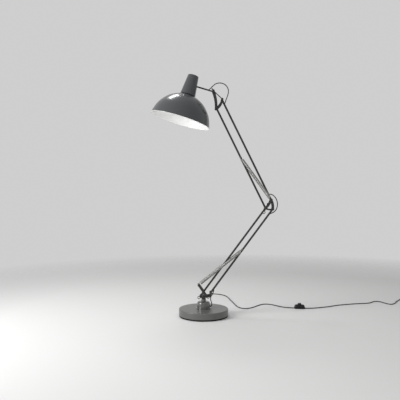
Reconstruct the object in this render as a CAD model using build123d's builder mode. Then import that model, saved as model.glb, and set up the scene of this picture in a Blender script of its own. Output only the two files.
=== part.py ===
from build123d import *
from math import cos, pi, radians, sin, sqrt, tan
import os

# A tall reading lamp for the floor: a weighted round base, two spring-balanced
# parallelogram arms with open triangular brackets, and a domed metal shade.
# Millimetres. X runs to the lamp's right, Y away from the viewer, Z up.
# The origin is the centre of the base, on the floor.

os.makedirs("parts", exist_ok=True)

# Base and swivel
BASE_R = 150.0
BASE_HEIGHT = 46.0
PAD_HEIGHT = 4.0
COVER_WALL = 2.0
BALLAST_R = 143.0
BALLAST_TOP = 26.0
HUB_R = 30.0
CHANNEL_WIDTH = 14.0
RUNNING_GAP = 0.3
COLLAR_FOOT_R = 46.0
COLLAR_R = 40.5
COLLAR_HEIGHT = 44.0
STEM_R = 14.0
STEM_TOP = 130.0
PIVOT_TUBE_R = 10.0
PIVOT_TUBE_BORE = 6.0
SHAFT_FIT = 0.04

# Pivots of the arms, as (X, Z) in the lamp's own upright plane
TILT_PIVOT = (0.0, 118.0)
LOWER_LENGTH = 633.3
LOWER_ANGLE = 53.4
UPPER_LENGTH = 678.0
UPPER_ANGLE = 116.1
LOWER_LEFT_FOOT = (0.0, 147.4)
LOWER_LINK = (43.3, -6.1)
UPPER_LINK = (33.5, 52.4)
HEAD_PIVOT = (59.5, 1367.0)

# Square tubes of the arms and the side plates of the brackets
BAR = 11.0
BAR_WALL = 1.5
BAR_CORNER = 1.5
EYE_R = 7.0
TUBE_START = 10.0
FORK_REACH = 16.0
TONGUE = 5.2
FORK_SLOT = 6.0
SLOT_START = 17.0
SLOT_LENGTH = 26.0
SLOT_WIDTH = 6.8
PLATE_IN = 20.0
PLATE = 3.0
PIN_R = 3.0
PIN_HEAD_R = 5.5
PIN_HEAD = 2.5
SPACER_R = 5.0
BOLT_TAIL = 12.0
BOLT_HEAD = 4.0

# Springs: two beside each arm
SPRING_Y = 14.6
COIL_R = 7.4
SPRING_WIRE = 1.8
EYE_LOOP_R = 4.6
SPRING_LEAD = 15.0
CURLS = 8
SPRING_ANCHOR = (-29.6, 189.4)
LOWER_SPRING_REACH = 324.0
UPPER_SPRING_REACH = 342.0

# Shade and cap
SHADE_TILT = 16.5
RIM_CENTRE = (-142.4, 1190.8)
RIM_R = 184.5
SHADE_WALL = 1.5
DOME_HEIGHT = 160.0
CAP_FOOT_R = 45.0
CAP_TOP_R = 33.0
CAP_LENGTH = 122.0
HEAD_STEM_R = 4.6
HEAD_STEM_BORE = 3.2

# Flex: one diameter from the plug to the lampholder
FLEX = 5.8
FLEX_SIDES = 4
FLOOR_Z = FLEX / 2 + 0.1
GLAND_REACH = 26.0
GLAND_Z = 12.0

# Foot switch, coil of spare flex and plug
SWITCH_AT = (626.0, 199.0)
SWITCH_TURN = -8.0
SWITCH_LENGTH = 69.0
SWITCH_WIDTH = 34.0
SWITCH_BASE = 9.0
SWITCH_HEIGHT = 30.0
BUTTON_R = 11.0
BUTTON_PROUD = 5.0
COIL_START = (1420.7, 515.2)
COIL_HEADING = 54.2
COIL_OUTER_R = 36.3
COIL_PITCH = 6.6
COIL_TURNS = 2.4


def along(start, angle, distance):
    """The point at a distance from start, in the lamp's upright plane."""
    return (start[0] + distance * cos(radians(angle)), start[1] + distance * sin(radians(angle)))


def plus(point, step):
    return (point[0] + step[0], point[1] + step[1])


def spot(point, y=0.0):
    """A point of the upright plane, as a place in space."""
    return Vector(point[0], y, point[1])


def lamp_plane(y):
    """The upright plane at depth y: local x is X, local y is Z, and extrusions go to -Y."""
    return Plane(origin=(0, y, 0), x_dir=(1, 0, 0), z_dir=(0, -1, 0))


# Small rounds and holes have few flats, so that the lamp's many fixings stay light.
FLATS = 12
HOLE_FLATS = 8


def small_round(radius):
    """A small round whose corners are at the radius."""
    return RegularPolygon(radius, FLATS)


def small_hole(radius):
    """A small hole whose flats are at the radius."""
    return RegularPolygon(radius, HOLE_FLATS, major_radius=False, mode=Mode.SUBTRACT)


def pivot_bore():
    """The bore of a bar's eye, which turns on a small round pin."""
    return RegularPolygon(PIN_R + SHAFT_FIT, FLATS, major_radius=False)


LOWER_RIGHT_FOOT = plus(LOWER_LEFT_FOOT, LOWER_LINK)
ELBOW_LEFT = along(LOWER_LEFT_FOOT, LOWER_ANGLE, LOWER_LENGTH)
ELBOW_RIGHT = plus(ELBOW_LEFT, LOWER_LINK)
ELBOW_TOP = plus(ELBOW_LEFT, UPPER_LINK)
HEAD_LEFT = along(ELBOW_LEFT, UPPER_ANGLE, UPPER_LENGTH)
HEAD_RIGHT = plus(HEAD_LEFT, UPPER_LINK)
LOWER_STUD = along(LOWER_RIGHT_FOOT, LOWER_ANGLE, LOWER_SPRING_REACH)
UPPER_STUD = along(ELBOW_LEFT, UPPER_ANGLE, UPPER_SPRING_REACH)
PLATE_OUT = PLATE_IN + PLATE


# ---------------------------------------------------------------- round base

with BuildPart() as base_pad:
    Cylinder(BASE_R - 5, PAD_HEIGHT, align=(Align.CENTER, Align.CENTER, Align.MIN))
    chamfer(base_pad.edges().group_by(Axis.Z)[0], 1)
base_pad.part.label = "base_pad"
export_step(base_pad.part, "parts/base_pad.step")

with BuildPart() as base_cover:
    with BuildSketch(Plane.XY.offset(PAD_HEIGHT)):
        Circle(BASE_R)
    extrude(amount=BASE_HEIGHT - PAD_HEIGHT)
    chamfer(base_cover.edges().group_by(Axis.Z)[-1], 2.5)
    with BuildSketch(Plane.XY.offset(PAD_HEIGHT)):
        Circle(BASE_R - COVER_WALL)
    extrude(amount=BASE_HEIGHT - PAD_HEIGHT - COVER_WALL, mode=Mode.SUBTRACT)
    with BuildSketch(Plane.XY.offset(BASE_HEIGHT)):
        Circle(HUB_R / 2)
    extrude(amount=-COVER_WALL, mode=Mode.SUBTRACT)
    with BuildSketch(Plane.XZ.offset(-BASE_R)):
        with Locations((0, GLAND_Z)):
            Circle(5.5)
    extrude(amount=2 * COVER_WALL, mode=Mode.SUBTRACT)
base_cover.part.label = "base_cover"
export_step(base_cover.part, "parts/base_cover.step")

with BuildPart() as base_ballast:
    with BuildSketch(Plane.XY.offset(PAD_HEIGHT)):
        Circle(BALLAST_R)
        Circle(HUB_R, mode=Mode.SUBTRACT)
        with Locations((0, BALLAST_R / 2)):
            Rectangle(CHANNEL_WIDTH, BALLAST_R + 4, mode=Mode.SUBTRACT)
    extrude(amount=BALLAST_TOP - PAD_HEIGHT)
base_ballast.part.label = "base_ballast"
export_step(base_ballast.part, "parts/base_ballast.step")

# The bush is pressed into the cover, and its flange bears on the cover's underside.
BUSH_BOTTOM = 34.0
with BuildPart() as base_bush:
    with BuildSketch(Plane.XY.offset(BUSH_BOTTOM)):
        Circle(HUB_R / 2 - 0.15)
        Circle(PIVOT_TUBE_R + SHAFT_FIT, mode=Mode.SUBTRACT)
    extrude(amount=BASE_HEIGHT - BUSH_BOTTOM)
    with BuildSketch(Plane.XY.offset(BUSH_BOTTOM)):
        Circle(HUB_R - 8)
        Circle(HUB_R / 2 - 0.5, mode=Mode.SUBTRACT)
    extrude(amount=BASE_HEIGHT - COVER_WALL - BUSH_BOTTOM)
base_bush.part.label = "base_bush"
export_step(base_bush.part, "parts/base_bush.step")

with BuildPart() as base_cord_gland:
    with BuildSketch(lamp_plane(BASE_R - 5)):
        with Locations((0, GLAND_Z)):
            Circle(5.3)
    extrude(amount=-6)
    with BuildSketch(lamp_plane(BASE_R + 0.4)):
        with Locations((0, GLAND_Z)):
            Circle(7)
    with BuildSketch(lamp_plane(BASE_R + GLAND_REACH)):
        with Locations((0, GLAND_Z)):
            Circle(4.2)
    loft()
    with BuildSketch(lamp_plane(BASE_R - 6)):
        with Locations((0, GLAND_Z)):
            Circle(FLEX / 2 + 0.5)
    extrude(amount=-(GLAND_REACH + 8), mode=Mode.SUBTRACT)
base_cord_gland.part.label = "base_cord_gland"
export_step(base_cord_gland.part, "parts/base_cord_gland.step")


# ------------------------------------------------------------- swivel and stem

COLLAR_BOTTOM = BASE_HEIGHT + RUNNING_GAP
COLLAR_TOP = BASE_HEIGHT + COLLAR_HEIGHT
CABLE_ENTRY_Z = 58.0
GROMMET_R = 4.6

with BuildPart() as collar:
    with BuildSketch(lamp_plane(0)):
        with BuildLine():
            Polyline(
                (PIVOT_TUBE_R + 0.1, COLLAR_BOTTOM),
                (COLLAR_FOOT_R, COLLAR_BOTTOM),
                (COLLAR_FOOT_R, COLLAR_BOTTOM + 2.5),
                (COLLAR_R, COLLAR_BOTTOM + 4),
                (COLLAR_R - 0.5, COLLAR_BOTTOM + 16),
            )
            Polyline(
                (COLLAR_R - 0.5, COLLAR_BOTTOM + 16),
                (COLLAR_R - 1.2, COLLAR_TOP - 12),
                (COLLAR_R - 3.8, COLLAR_TOP - 5.5),
                (COLLAR_R - 9.5, COLLAR_TOP - 1.2),
                (COLLAR_R - 14, COLLAR_TOP),
                (STEM_R + 0.1, COLLAR_TOP),
                (STEM_R + 0.1, COLLAR_TOP - 6),
                (COLLAR_R - 13, COLLAR_TOP - 6),
                (COLLAR_R - 5.5, COLLAR_TOP - 13),
                (COLLAR_R - 4, COLLAR_BOTTOM + 4),
                (PIVOT_TUBE_R + 0.1, COLLAR_BOTTOM + 4),
                (PIVOT_TUBE_R + 0.1, COLLAR_BOTTOM),
            )
        make_face()
    revolve(axis=Axis.Z)
    with BuildSketch(Plane.YZ.offset(COLLAR_R - 6)):
        with Locations((0, CABLE_ENTRY_Z)):
            Circle(GROMMET_R)
    extrude(amount=10, mode=Mode.SUBTRACT)
collar.part.label = "collar"
export_step(collar.part, "parts/collar.step")

with BuildPart() as collar_grommet:
    with BuildSketch(Plane.YZ.offset(COLLAR_R - 5)):
        with Locations((0, CABLE_ENTRY_Z)):
            small_round(GROMMET_R - 0.1)
    extrude(amount=5.2)
    with BuildSketch(Plane.YZ.offset(COLLAR_R + 0.1)):
        with Locations((0, CABLE_ENTRY_Z)):
            small_round(GROMMET_R + 1.4)
    extrude(amount=1.6)
    with BuildSketch(Plane.YZ.offset(COLLAR_R - 6)):
        with Locations((0, CABLE_ENTRY_Z)):
            RegularPolygon(FLEX / 2 + 0.1, HOLE_FLATS, major_radius=False)
    extrude(amount=10, mode=Mode.SUBTRACT)
collar_grommet.part.label = "collar_grommet"
export_step(collar_grommet.part, "parts/collar_grommet.step")

STEM_BOTTOM = 64.0
STEM_FLAT = 12.0
with BuildPart() as stem:
    with BuildSketch(Plane.XY.offset(STEM_BOTTOM)):
        Circle(STEM_R)
    extrude(amount=STEM_TOP - STEM_BOTTOM)
    chamfer(stem.edges().group_by(Axis.Z)[-1], 6)
    with BuildSketch(Plane.XY.offset(STEM_BOTTOM)):
        Circle(PIVOT_TUBE_R + 0.05)
    extrude(amount=26, mode=Mode.SUBTRACT)
    with BuildSketch(Plane.XY.offset(STEM_TOP - 26)):
        with Locations((0, STEM_FLAT + 5), (0, -STEM_FLAT - 5)):
            Rectangle(40, 10)
    extrude(amount=30, mode=Mode.SUBTRACT)
    with BuildSketch(lamp_plane(20)):
        with Locations(TILT_PIVOT):
            pivot_bore()
    extrude(amount=40, mode=Mode.SUBTRACT)
stem.part.label = "stem"
export_step(stem.part, "parts/stem.step")

PIVOT_TUBE_BOTTOM = 20.0
with BuildPart() as pivot_tube:
    with BuildSketch(Plane.XY.offset(PIVOT_TUBE_BOTTOM)):
        Circle(PIVOT_TUBE_R)
        Circle(PIVOT_TUBE_BORE, mode=Mode.SUBTRACT)
    extrude(amount=STEM_BOTTOM + 6 - PIVOT_TUBE_BOTTOM)
    with BuildSketch(Plane.YZ):
        with Locations((0, CABLE_ENTRY_Z - 4)):
            Rectangle(8, 16)
    extrude(amount=12, mode=Mode.SUBTRACT)
pivot_tube.part.label = "pivot_tube"
export_step(pivot_tube.part, "parts/pivot_tube.step")

WASHER_TOP = BUSH_BOTTOM - RUNNING_GAP
with BuildPart() as pivot_washer:
    with BuildSketch(Plane.XY.offset(WASHER_TOP - 2)):
        RegularPolygon(20, FLATS)
        RegularPolygon(PIVOT_TUBE_R + 0.1, FLATS, major_radius=False, mode=Mode.SUBTRACT)
    extrude(amount=2)
pivot_washer.part.label = "pivot_washer"
export_step(pivot_washer.part, "parts/pivot_washer.step")

with BuildPart() as pivot_nut:
    with BuildSketch(Plane.XY.offset(WASHER_TOP - 10)):
        RegularPolygon(15, 6, major_radius=False)
        RegularPolygon(PIVOT_TUBE_R + 0.1, FLATS, major_radius=False, mode=Mode.SUBTRACT)
    extrude(amount=8)
pivot_nut.part.label = "pivot_nut"
export_step(pivot_nut.part, "parts/pivot_nut.step")


# ----------------------------------------------------------- bracket hardware

def cross_pins(points, reach, bolt_point=None, bolt_reach=PLATE_OUT):
    """Hex-headed pins through both side plates, and one bolt threaded in front for a wing nut."""
    with BuildPart() as pins:
        with BuildSketch(lamp_plane(reach)):
            with Locations(*points):
                Circle(PIN_R)
        extrude(amount=2 * reach)
        for head_face in (reach + PIN_HEAD, -reach):
            with BuildSketch(lamp_plane(head_face)):
                with Locations(*points):
                    RegularPolygon(PIN_HEAD_R, 6)
            extrude(amount=PIN_HEAD)
        if bolt_point:
            with BuildSketch(lamp_plane(bolt_reach)):
                with Locations(bolt_point):
                    Circle(PIN_R)
            extrude(amount=2 * bolt_reach + BOLT_TAIL)
            with BuildSketch(lamp_plane(bolt_reach + BOLT_HEAD)):
                with Locations(bolt_point):
                    RegularPolygon(PIN_HEAD_R + 1, 6)
            extrude(amount=BOLT_HEAD)
    return pins


def spacers(groups):
    """Tubes on the pins, on both sides of the bars: (points, inner, outer, radius) for each group."""
    with BuildPart() as tubes:
        for points, inner, outer, radius in groups:
            for face in (outer, -inner):
                with BuildSketch(lamp_plane(face)):
                    with Locations(*points):
                        small_round(radius)
                        small_hole(PIN_R + 0.1)
                extrude(amount=outer - inner)
    return tubes


WING_AT = 27.5
WING_R = 9.8
WING_HOLE_R = 5.6
WING_THICK = 4.0
NUT_HUB_R = 8.0
NUT_HUB = 9.0


def wing_nut(point, angle, seat):
    """A nut with two ring-shaped wings, on the front of a bracket."""
    with BuildPart() as nut:
        with BuildSketch(lamp_plane(-seat)):
            with Locations(point):
                small_round(NUT_HUB_R)
        extrude(amount=NUT_HUB)
        with BuildSketch(lamp_plane(-seat - 2.5)):
            for side in (0, 180):
                with Locations(along(point, angle + side, WING_AT)):
                    RegularPolygon(WING_R, 14)
                with Locations(Location((*along(point, angle + side, WING_AT / 2), 0), (0, 0, angle))):
                    Rectangle(WING_AT - 4, 7)
                with Locations(along(point, angle + side, WING_AT)):
                    RegularPolygon(WING_HOLE_R, 10, mode=Mode.SUBTRACT)
        extrude(amount=WING_THICK)
        with BuildSketch(lamp_plane(-seat + 1)):
            with Locations(point):
                pivot_bore()
        extrude(amount=NUT_HUB + 2, mode=Mode.SUBTRACT)
    return nut


def leg(start, end, bow):
    """A bracket leg's centre line, bowed to the left of its direction by the given rise."""
    if bow == 0:
        return Line(start, end)
    length = sqrt((end[0] - start[0]) ** 2 + (end[1] - start[1]) ** 2)
    normal = ((start[1] - end[1]) / length, (end[0] - start[0]) / length)
    middle = ((start[0] + end[0]) / 2 + bow * normal[0], (start[1] + end[1]) / 2 + bow * normal[1])
    return ThreePointArc(start, middle, end)


def side_plates(legs, bosses, holes):
    """Front and rear plates made of bowed legs, (start, end, bow, width), and round bosses."""
    with BuildPart() as plates:
        for face in (PLATE_OUT, -PLATE_IN):
            with BuildSketch(lamp_plane(face)):
                for start, end, bow, width in legs:
                    with BuildLine():
                        leg(start, end, bow)
                    trace(line_width=width)
                for centre, radius in bosses:
                    with Locations(centre):
                        RegularPolygon(radius, 16)
                with Locations(*holes):
                    small_hole(PIN_R + 0.1)
            extrude(amount=PLATE)
    return plates


# ---------------------------------------------------------- bracket on the stem

BRACKET_LEFT = (-18.0, 120.5)
BRACKET_RIGHT = (19.5, 120.5)
BRACKET_CORNER = (40.5, 122.5)

base_bracket_plates = side_plates(
    [
        (LOWER_LEFT_FOOT, BRACKET_LEFT, 0, 7),
        (LOWER_LEFT_FOOT, BRACKET_RIGHT, 0, 9),
        (BRACKET_LEFT, BRACKET_RIGHT, 0, 12),
        (BRACKET_RIGHT, BRACKET_CORNER, 0, 9.5),
        (BRACKET_CORNER, LOWER_RIGHT_FOOT, 0, 9),
        (LOWER_LEFT_FOOT, SPRING_ANCHOR, 0, 12),
    ],
    [
        (LOWER_LEFT_FOOT, 8),
        (LOWER_RIGHT_FOOT, 8),
        (TILT_PIVOT, 12),
        (BRACKET_LEFT, 7.1),
        (BRACKET_RIGHT, 7.1),
        (BRACKET_CORNER, 5.2),
        (SPRING_ANCHOR, 7),
    ],
    [LOWER_LEFT_FOOT, LOWER_RIGHT_FOOT, TILT_PIVOT, SPRING_ANCHOR],
)
base_bracket_plates.part.label = "base_bracket_plates"
export_step(base_bracket_plates.part, "parts/base_bracket_plates.step")

base_bracket_pins = cross_pins(
    [LOWER_LEFT_FOOT, LOWER_RIGHT_FOOT, SPRING_ANCHOR], PLATE_OUT, TILT_PIVOT
)
base_bracket_pins.part.label = "base_bracket_pins"
export_step(base_bracket_pins.part, "parts/base_bracket_pins.step")

base_bracket_spacers = spacers([
    ([LOWER_LEFT_FOOT, LOWER_RIGHT_FOOT], BAR / 2 + 0.4, PLATE_IN, SPACER_R),
    ([TILT_PIVOT], STEM_FLAT + RUNNING_GAP, PLATE_IN, 10),
])
base_bracket_spacers.part.label = "base_bracket_spacers"
export_step(base_bracket_spacers.part, "parts/base_bracket_spacers.step")

NUT_SEAT = PLATE_OUT + RUNNING_GAP
tilt_wing_nut = wing_nut(TILT_PIVOT, 183, NUT_SEAT)
tilt_wing_nut.part.label = "tilt_wing_nut"
export_step(tilt_wing_nut.part, "parts/tilt_wing_nut.step")


# -------------------------------------------------------------- bars of the arms

def bar_plane(start, angle):
    """A plane square to a bar: local x is Y, and extrusions run along the bar."""
    return Plane(
        origin=spot(start), x_dir=(0, 1, 0), z_dir=(cos(radians(angle)), 0, sin(radians(angle)))
    )


def bar_tube(foot, angle, length, start_gap, end_gap, slot_side=0):
    """A square tube between two pivots, with a cable slot near each end on one side."""
    with BuildPart() as tube:
        with BuildSketch(bar_plane(along(foot, angle, start_gap), angle)):
            RectangleRounded(BAR, BAR, BAR_CORNER)
            Rectangle(BAR - 2 * BAR_WALL, BAR - 2 * BAR_WALL, mode=Mode.SUBTRACT)
        extrude(amount=length - start_gap - end_gap)
        if slot_side:
            slot_angle = angle + 90 * slot_side
            for middle in (SLOT_START + SLOT_LENGTH / 2, length - SLOT_START - SLOT_LENGTH / 2):
                slot_plane = Plane(
                    origin=spot(along(foot, angle, middle)),
                    x_dir=(cos(radians(angle)), 0, sin(radians(angle))),
                    z_dir=(cos(radians(slot_angle)), 0, sin(radians(slot_angle))),
                )
                with BuildSketch(slot_plane.offset(BAR / 2 - BAR_WALL - 1)):
                    Rectangle(SLOT_LENGTH, SLOT_WIDTH)
                extrude(amount=BAR_WALL + 2, mode=Mode.SUBTRACT)
    return tube


def bar_end(pivot, angle, tube_gap, insert, style):
    """A plug in the tube's end with a bored eye: style is eye, tongue or fork."""
    with BuildPart() as end:
        with BuildSketch(lamp_plane(BAR / 2)):
            with Locations(pivot):
                RegularPolygon(EYE_R, 16)
            with Locations(Location((*along(pivot, angle, tube_gap / 2), 0), (0, 0, angle))):
                Rectangle(tube_gap, BAR)
        extrude(amount=BAR)
        if style == "tongue":
            for face in (BAR / 2 + 1, -TONGUE / 2):
                with BuildSketch(lamp_plane(face)):
                    with Locations(pivot):
                        Rectangle(2 * tube_gap - 2, 2 * tube_gap - 2, rotation=angle)
                extrude(amount=BAR / 2 + 1 - TONGUE / 2, mode=Mode.SUBTRACT)
        if style == "fork":
            with BuildSketch(lamp_plane(FORK_SLOT / 2)):
                with Locations(pivot):
                    Rectangle(2 * tube_gap - 2, 2 * tube_gap - 2, rotation=angle)
            extrude(amount=FORK_SLOT, mode=Mode.SUBTRACT)
        with BuildSketch(bar_plane(along(pivot, angle, tube_gap), angle)):
            Rectangle(BAR - 2 * BAR_WALL - 0.1, BAR - 2 * BAR_WALL - 0.1)
        extrude(amount=insert)
        with BuildSketch(lamp_plane(BAR)):
            with Locations(pivot):
                pivot_bore()
        extrude(amount=2 * BAR, mode=Mode.SUBTRACT)
    return end


def bar_ends(foot, angle, length, gaps, insert, styles):
    """Both end plugs of one bar."""
    with BuildPart() as ends:
        add(bar_end(foot, angle, gaps[0], insert, styles[0]).part)
        add(bar_end(along(foot, angle, length), angle + 180, gaps[1], insert, styles[1]).part)
    return ends


CABLE_PLUG = 6.0
PLAIN_PLUG = 20.0
EYES = ("eye", "eye")

lower_right_bar = bar_tube(LOWER_RIGHT_FOOT, LOWER_ANGLE, LOWER_LENGTH, TUBE_START, TUBE_START, -1)
lower_right_bar.part.label = "lower_right_bar"
export_step(lower_right_bar.part, "parts/lower_right_bar.step")

lower_right_bar_ends = bar_ends(
    LOWER_RIGHT_FOOT, LOWER_ANGLE, LOWER_LENGTH, (TUBE_START, TUBE_START), CABLE_PLUG, EYES
)
lower_right_bar_ends.part.label = "lower_right_bar_ends"
export_step(lower_right_bar_ends.part, "parts/lower_right_bar_ends.step")

lower_left_bar = bar_tube(LOWER_LEFT_FOOT, LOWER_ANGLE, LOWER_LENGTH, TUBE_START, FORK_REACH)
lower_left_bar.part.label = "lower_left_bar"
export_step(lower_left_bar.part, "parts/lower_left_bar.step")

lower_left_bar_ends = bar_ends(
    LOWER_LEFT_FOOT, LOWER_ANGLE, LOWER_LENGTH, (TUBE_START, FORK_REACH), PLAIN_PLUG, ("eye", "tongue")
)
lower_left_bar_ends.part.label = "lower_left_bar_ends"
export_step(lower_left_bar_ends.part, "parts/lower_left_bar_ends.step")

upper_right_bar = bar_tube(ELBOW_TOP, UPPER_ANGLE, UPPER_LENGTH, TUBE_START, TUBE_START, -1)
upper_right_bar.part.label = "upper_right_bar"
export_step(upper_right_bar.part, "parts/upper_right_bar.step")

upper_right_bar_ends = bar_ends(
    ELBOW_TOP, UPPER_ANGLE, UPPER_LENGTH, (TUBE_START, TUBE_START), CABLE_PLUG, EYES
)
upper_right_bar_ends.part.label = "upper_right_bar_ends"
export_step(upper_right_bar_ends.part, "parts/upper_right_bar_ends.step")

upper_left_bar = bar_tube(ELBOW_LEFT, UPPER_ANGLE, UPPER_LENGTH, FORK_REACH, TUBE_START)
upper_left_bar.part.label = "upper_left_bar"
export_step(upper_left_bar.part, "parts/upper_left_bar.step")

upper_left_bar_ends = bar_ends(
    ELBOW_LEFT, UPPER_ANGLE, UPPER_LENGTH, (FORK_REACH, TUBE_START), PLAIN_PLUG, ("fork", "eye")
)
upper_left_bar_ends.part.label = "upper_left_bar_ends"
export_step(upper_left_bar_ends.part, "parts/upper_left_bar_ends.step")


# ------------------------------------------------------------ bracket at the elbow

elbow_plates = side_plates(
    [
        (ELBOW_LEFT, ELBOW_TOP, -4, 10.5),
        (ELBOW_TOP, ELBOW_RIGHT, 5, 10),
        (ELBOW_RIGHT, ELBOW_LEFT, 5, 9),
    ],
    [(ELBOW_LEFT, 8), (ELBOW_TOP, 7.5), (ELBOW_RIGHT, 7.5)],
    [ELBOW_LEFT, ELBOW_TOP, ELBOW_RIGHT],
)
elbow_plates.part.label = "elbow_plates"
export_step(elbow_plates.part, "parts/elbow_plates.step")

elbow_pins = cross_pins([ELBOW_TOP, ELBOW_RIGHT], PLATE_OUT, ELBOW_LEFT)
elbow_pins.part.label = "elbow_pins"
export_step(elbow_pins.part, "parts/elbow_pins.step")

# The top pin carries the feet of two springs, so its spacers leave room for their loops.
LOOP_ROOM = 2.5
elbow_spacers = spacers([
    ([ELBOW_LEFT, ELBOW_RIGHT], BAR / 2 + 0.4, PLATE_IN, SPACER_R),
    ([ELBOW_TOP], BAR / 2 + 0.4, SPRING_Y - LOOP_ROOM, SPACER_R),
    ([ELBOW_TOP], SPRING_Y + LOOP_ROOM, PLATE_IN, SPACER_R),
])
elbow_spacers.part.label = "elbow_spacers"
export_step(elbow_spacers.part, "parts/elbow_spacers.step")

elbow_wing_nut = wing_nut(ELBOW_LEFT, 240, NUT_SEAT)
elbow_wing_nut.part.label = "elbow_wing_nut"
export_step(elbow_wing_nut.part, "parts/elbow_wing_nut.step")


# ------------------------------------------------------------ bracket at the head

HEAD_LEG_FOOT = plus(HEAD_LEFT, (-3.5, -1))
head_plates = side_plates(
    [(HEAD_LEG_FOOT, HEAD_PIVOT, -6, 14.5), (HEAD_LEFT, HEAD_RIGHT, -7, 12.8)],
    [(HEAD_LEFT, 7.5), (HEAD_LEG_FOOT, 7.8), (HEAD_RIGHT, 7.9), (HEAD_PIVOT, 7.6)],
    [HEAD_LEFT, HEAD_RIGHT, HEAD_PIVOT],
)
head_plates.part.label = "head_plates"
export_step(head_plates.part, "parts/head_plates.step")

TIE = 2.0
TIE_OUT = PLATE_OUT + TIE
with BuildPart() as head_tie:
    with BuildSketch(lamp_plane(-PLATE_OUT)):
        with BuildLine():
            Line(HEAD_PIVOT, HEAD_RIGHT)
        trace(line_width=5.5)
        with Locations(HEAD_PIVOT, HEAD_RIGHT):
            small_round(6)
            small_hole(PIN_R + 0.1)
    extrude(amount=TIE)
    with BuildSketch(lamp_plane(TIE_OUT)):
        with Locations(HEAD_PIVOT, HEAD_RIGHT):
            small_round(6)
            small_hole(PIN_R + 0.1)
    extrude(amount=TIE)
head_tie.part.label = "head_tie"
export_step(head_tie.part, "parts/head_tie.step")

head_pins = cross_pins([HEAD_LEFT, HEAD_RIGHT], TIE_OUT, HEAD_PIVOT, TIE_OUT)
head_pins.part.label = "head_pins"
export_step(head_pins.part, "parts/head_pins.step")

KNUCKLE = 12.0
head_spacers = spacers([
    ([HEAD_LEFT, HEAD_RIGHT], BAR / 2 + 0.4, PLATE_IN, SPACER_R),
    ([HEAD_LEFT], PLATE_OUT, TIE_OUT, SPACER_R),
    ([HEAD_PIVOT], KNUCKLE / 2 + 0.4, PLATE_IN, SPACER_R),
])
head_spacers.part.label = "head_spacers"
export_step(head_spacers.part, "parts/head_spacers.step")

with BuildPart() as head_wing_nut:
    with BuildSketch(lamp_plane(-TIE_OUT - RUNNING_GAP)):
        with Locations(HEAD_PIVOT):
            small_round(NUT_HUB_R - 1)
    extrude(amount=NUT_HUB)
    with BuildSketch(lamp_plane(-TIE_OUT - RUNNING_GAP - 2)):
        with Locations(Location((*along(HEAD_PIVOT, 130, 3), 0), (0, 0, 130))):
            Rectangle(27, 7)
    extrude(amount=5)
    with BuildSketch(lamp_plane(-TIE_OUT)):
        with Locations(HEAD_PIVOT):
            pivot_bore()
    extrude(amount=NUT_HUB + 2, mode=Mode.SUBTRACT)
head_wing_nut.part.label = "head_wing_nut"
export_step(head_wing_nut.part, "parts/head_wing_nut.step")


# ------------------------------------------------------------- head, shade and cap

SHADE_AXIS = (sin(radians(SHADE_TILT)), 0, cos(radians(SHADE_TILT)))
SHADE_OUT = (cos(radians(SHADE_TILT)), 0, -sin(radians(SHADE_TILT)))
shade_section = Plane(origin=spot(RIM_CENTRE), x_dir=SHADE_OUT, z_dir=(0, -1, 0))
shade_axis = Axis(spot(RIM_CENTRE), SHADE_AXIS)


def dome_outline(inset):
    """Half of the dome's outline from the rim to the crown, inset square to the metal."""
    rim = (RIM_R - inset, 0)
    skirt = (170.0 - 0.96 * inset, 50.0 - 0.28 * inset)
    shoulder = (144.5 - 0.79 * inset, 93.0 - 0.61 * inset)
    crown = (CAP_FOOT_R, DOME_HEIGHT - 1.03 * inset)
    lower = ThreePointArc(rim, skirt, shoulder)
    TangentArc(shoulder, crown, tangent=lower % 1)


HOLDER_HOLE_R = 20.0
with BuildPart() as shade:
    with BuildSketch(shade_section):
        with BuildLine():
            dome_outline(0)
            Polyline(
                (CAP_FOOT_R, DOME_HEIGHT),
                (HOLDER_HOLE_R, DOME_HEIGHT + 3),
                (HOLDER_HOLE_R, DOME_HEIGHT + 3 - SHADE_WALL),
                (CAP_FOOT_R, DOME_HEIGHT - 1.03 * SHADE_WALL),
            )
            dome_outline(SHADE_WALL)
            Line((RIM_R - SHADE_WALL, 0), (RIM_R, 0))
        make_face()
        with Locations((RIM_R - SHADE_WALL / 2, 0.6)):
            RegularPolygon(2.4, 6)
    revolve(axis=shade_axis)
shade.part.label = "shade"
export_step(shade.part, "parts/shade.step")

CAP_BOTTOM = DOME_HEIGHT + 3.5
CAP_TOP = CAP_BOTTOM + CAP_LENGTH
CAP_WALL = 1.5
with BuildPart() as lamp_cap:
    with BuildSketch(shade_section):
        with BuildLine():
            Polyline(
                (CAP_FOOT_R - 6, CAP_BOTTOM - 1.5),
                (CAP_FOOT_R - 6, CAP_BOTTOM + 2),
                (CAP_FOOT_R, CAP_BOTTOM + 2),
                (CAP_TOP_R, CAP_TOP - 4),
                (CAP_TOP_R - 1.2, CAP_TOP - 1.2),
                (CAP_TOP_R - 4, CAP_TOP),
                (0, CAP_TOP),
                (0, CAP_TOP - CAP_WALL),
                (CAP_TOP_R - 2.5, CAP_TOP - CAP_WALL - 2.5),
                (CAP_FOOT_R - 8, CAP_BOTTOM + 4),
                (CAP_FOOT_R - 8, CAP_BOTTOM - 1.5),
                close=True,
            )
        make_face()
    revolve(axis=shade_axis)
    with BuildSketch(Plane(origin=spot(HEAD_PIVOT), x_dir=(0, 1, 0), z_dir=[-v for v in SHADE_OUT]).offset(90)):
        Circle(HEAD_STEM_BORE)
    extrude(amount=30, mode=Mode.SUBTRACT)
lamp_cap.part.label = "lamp_cap"
export_step(lamp_cap.part, "parts/lamp_cap.step")

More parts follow.
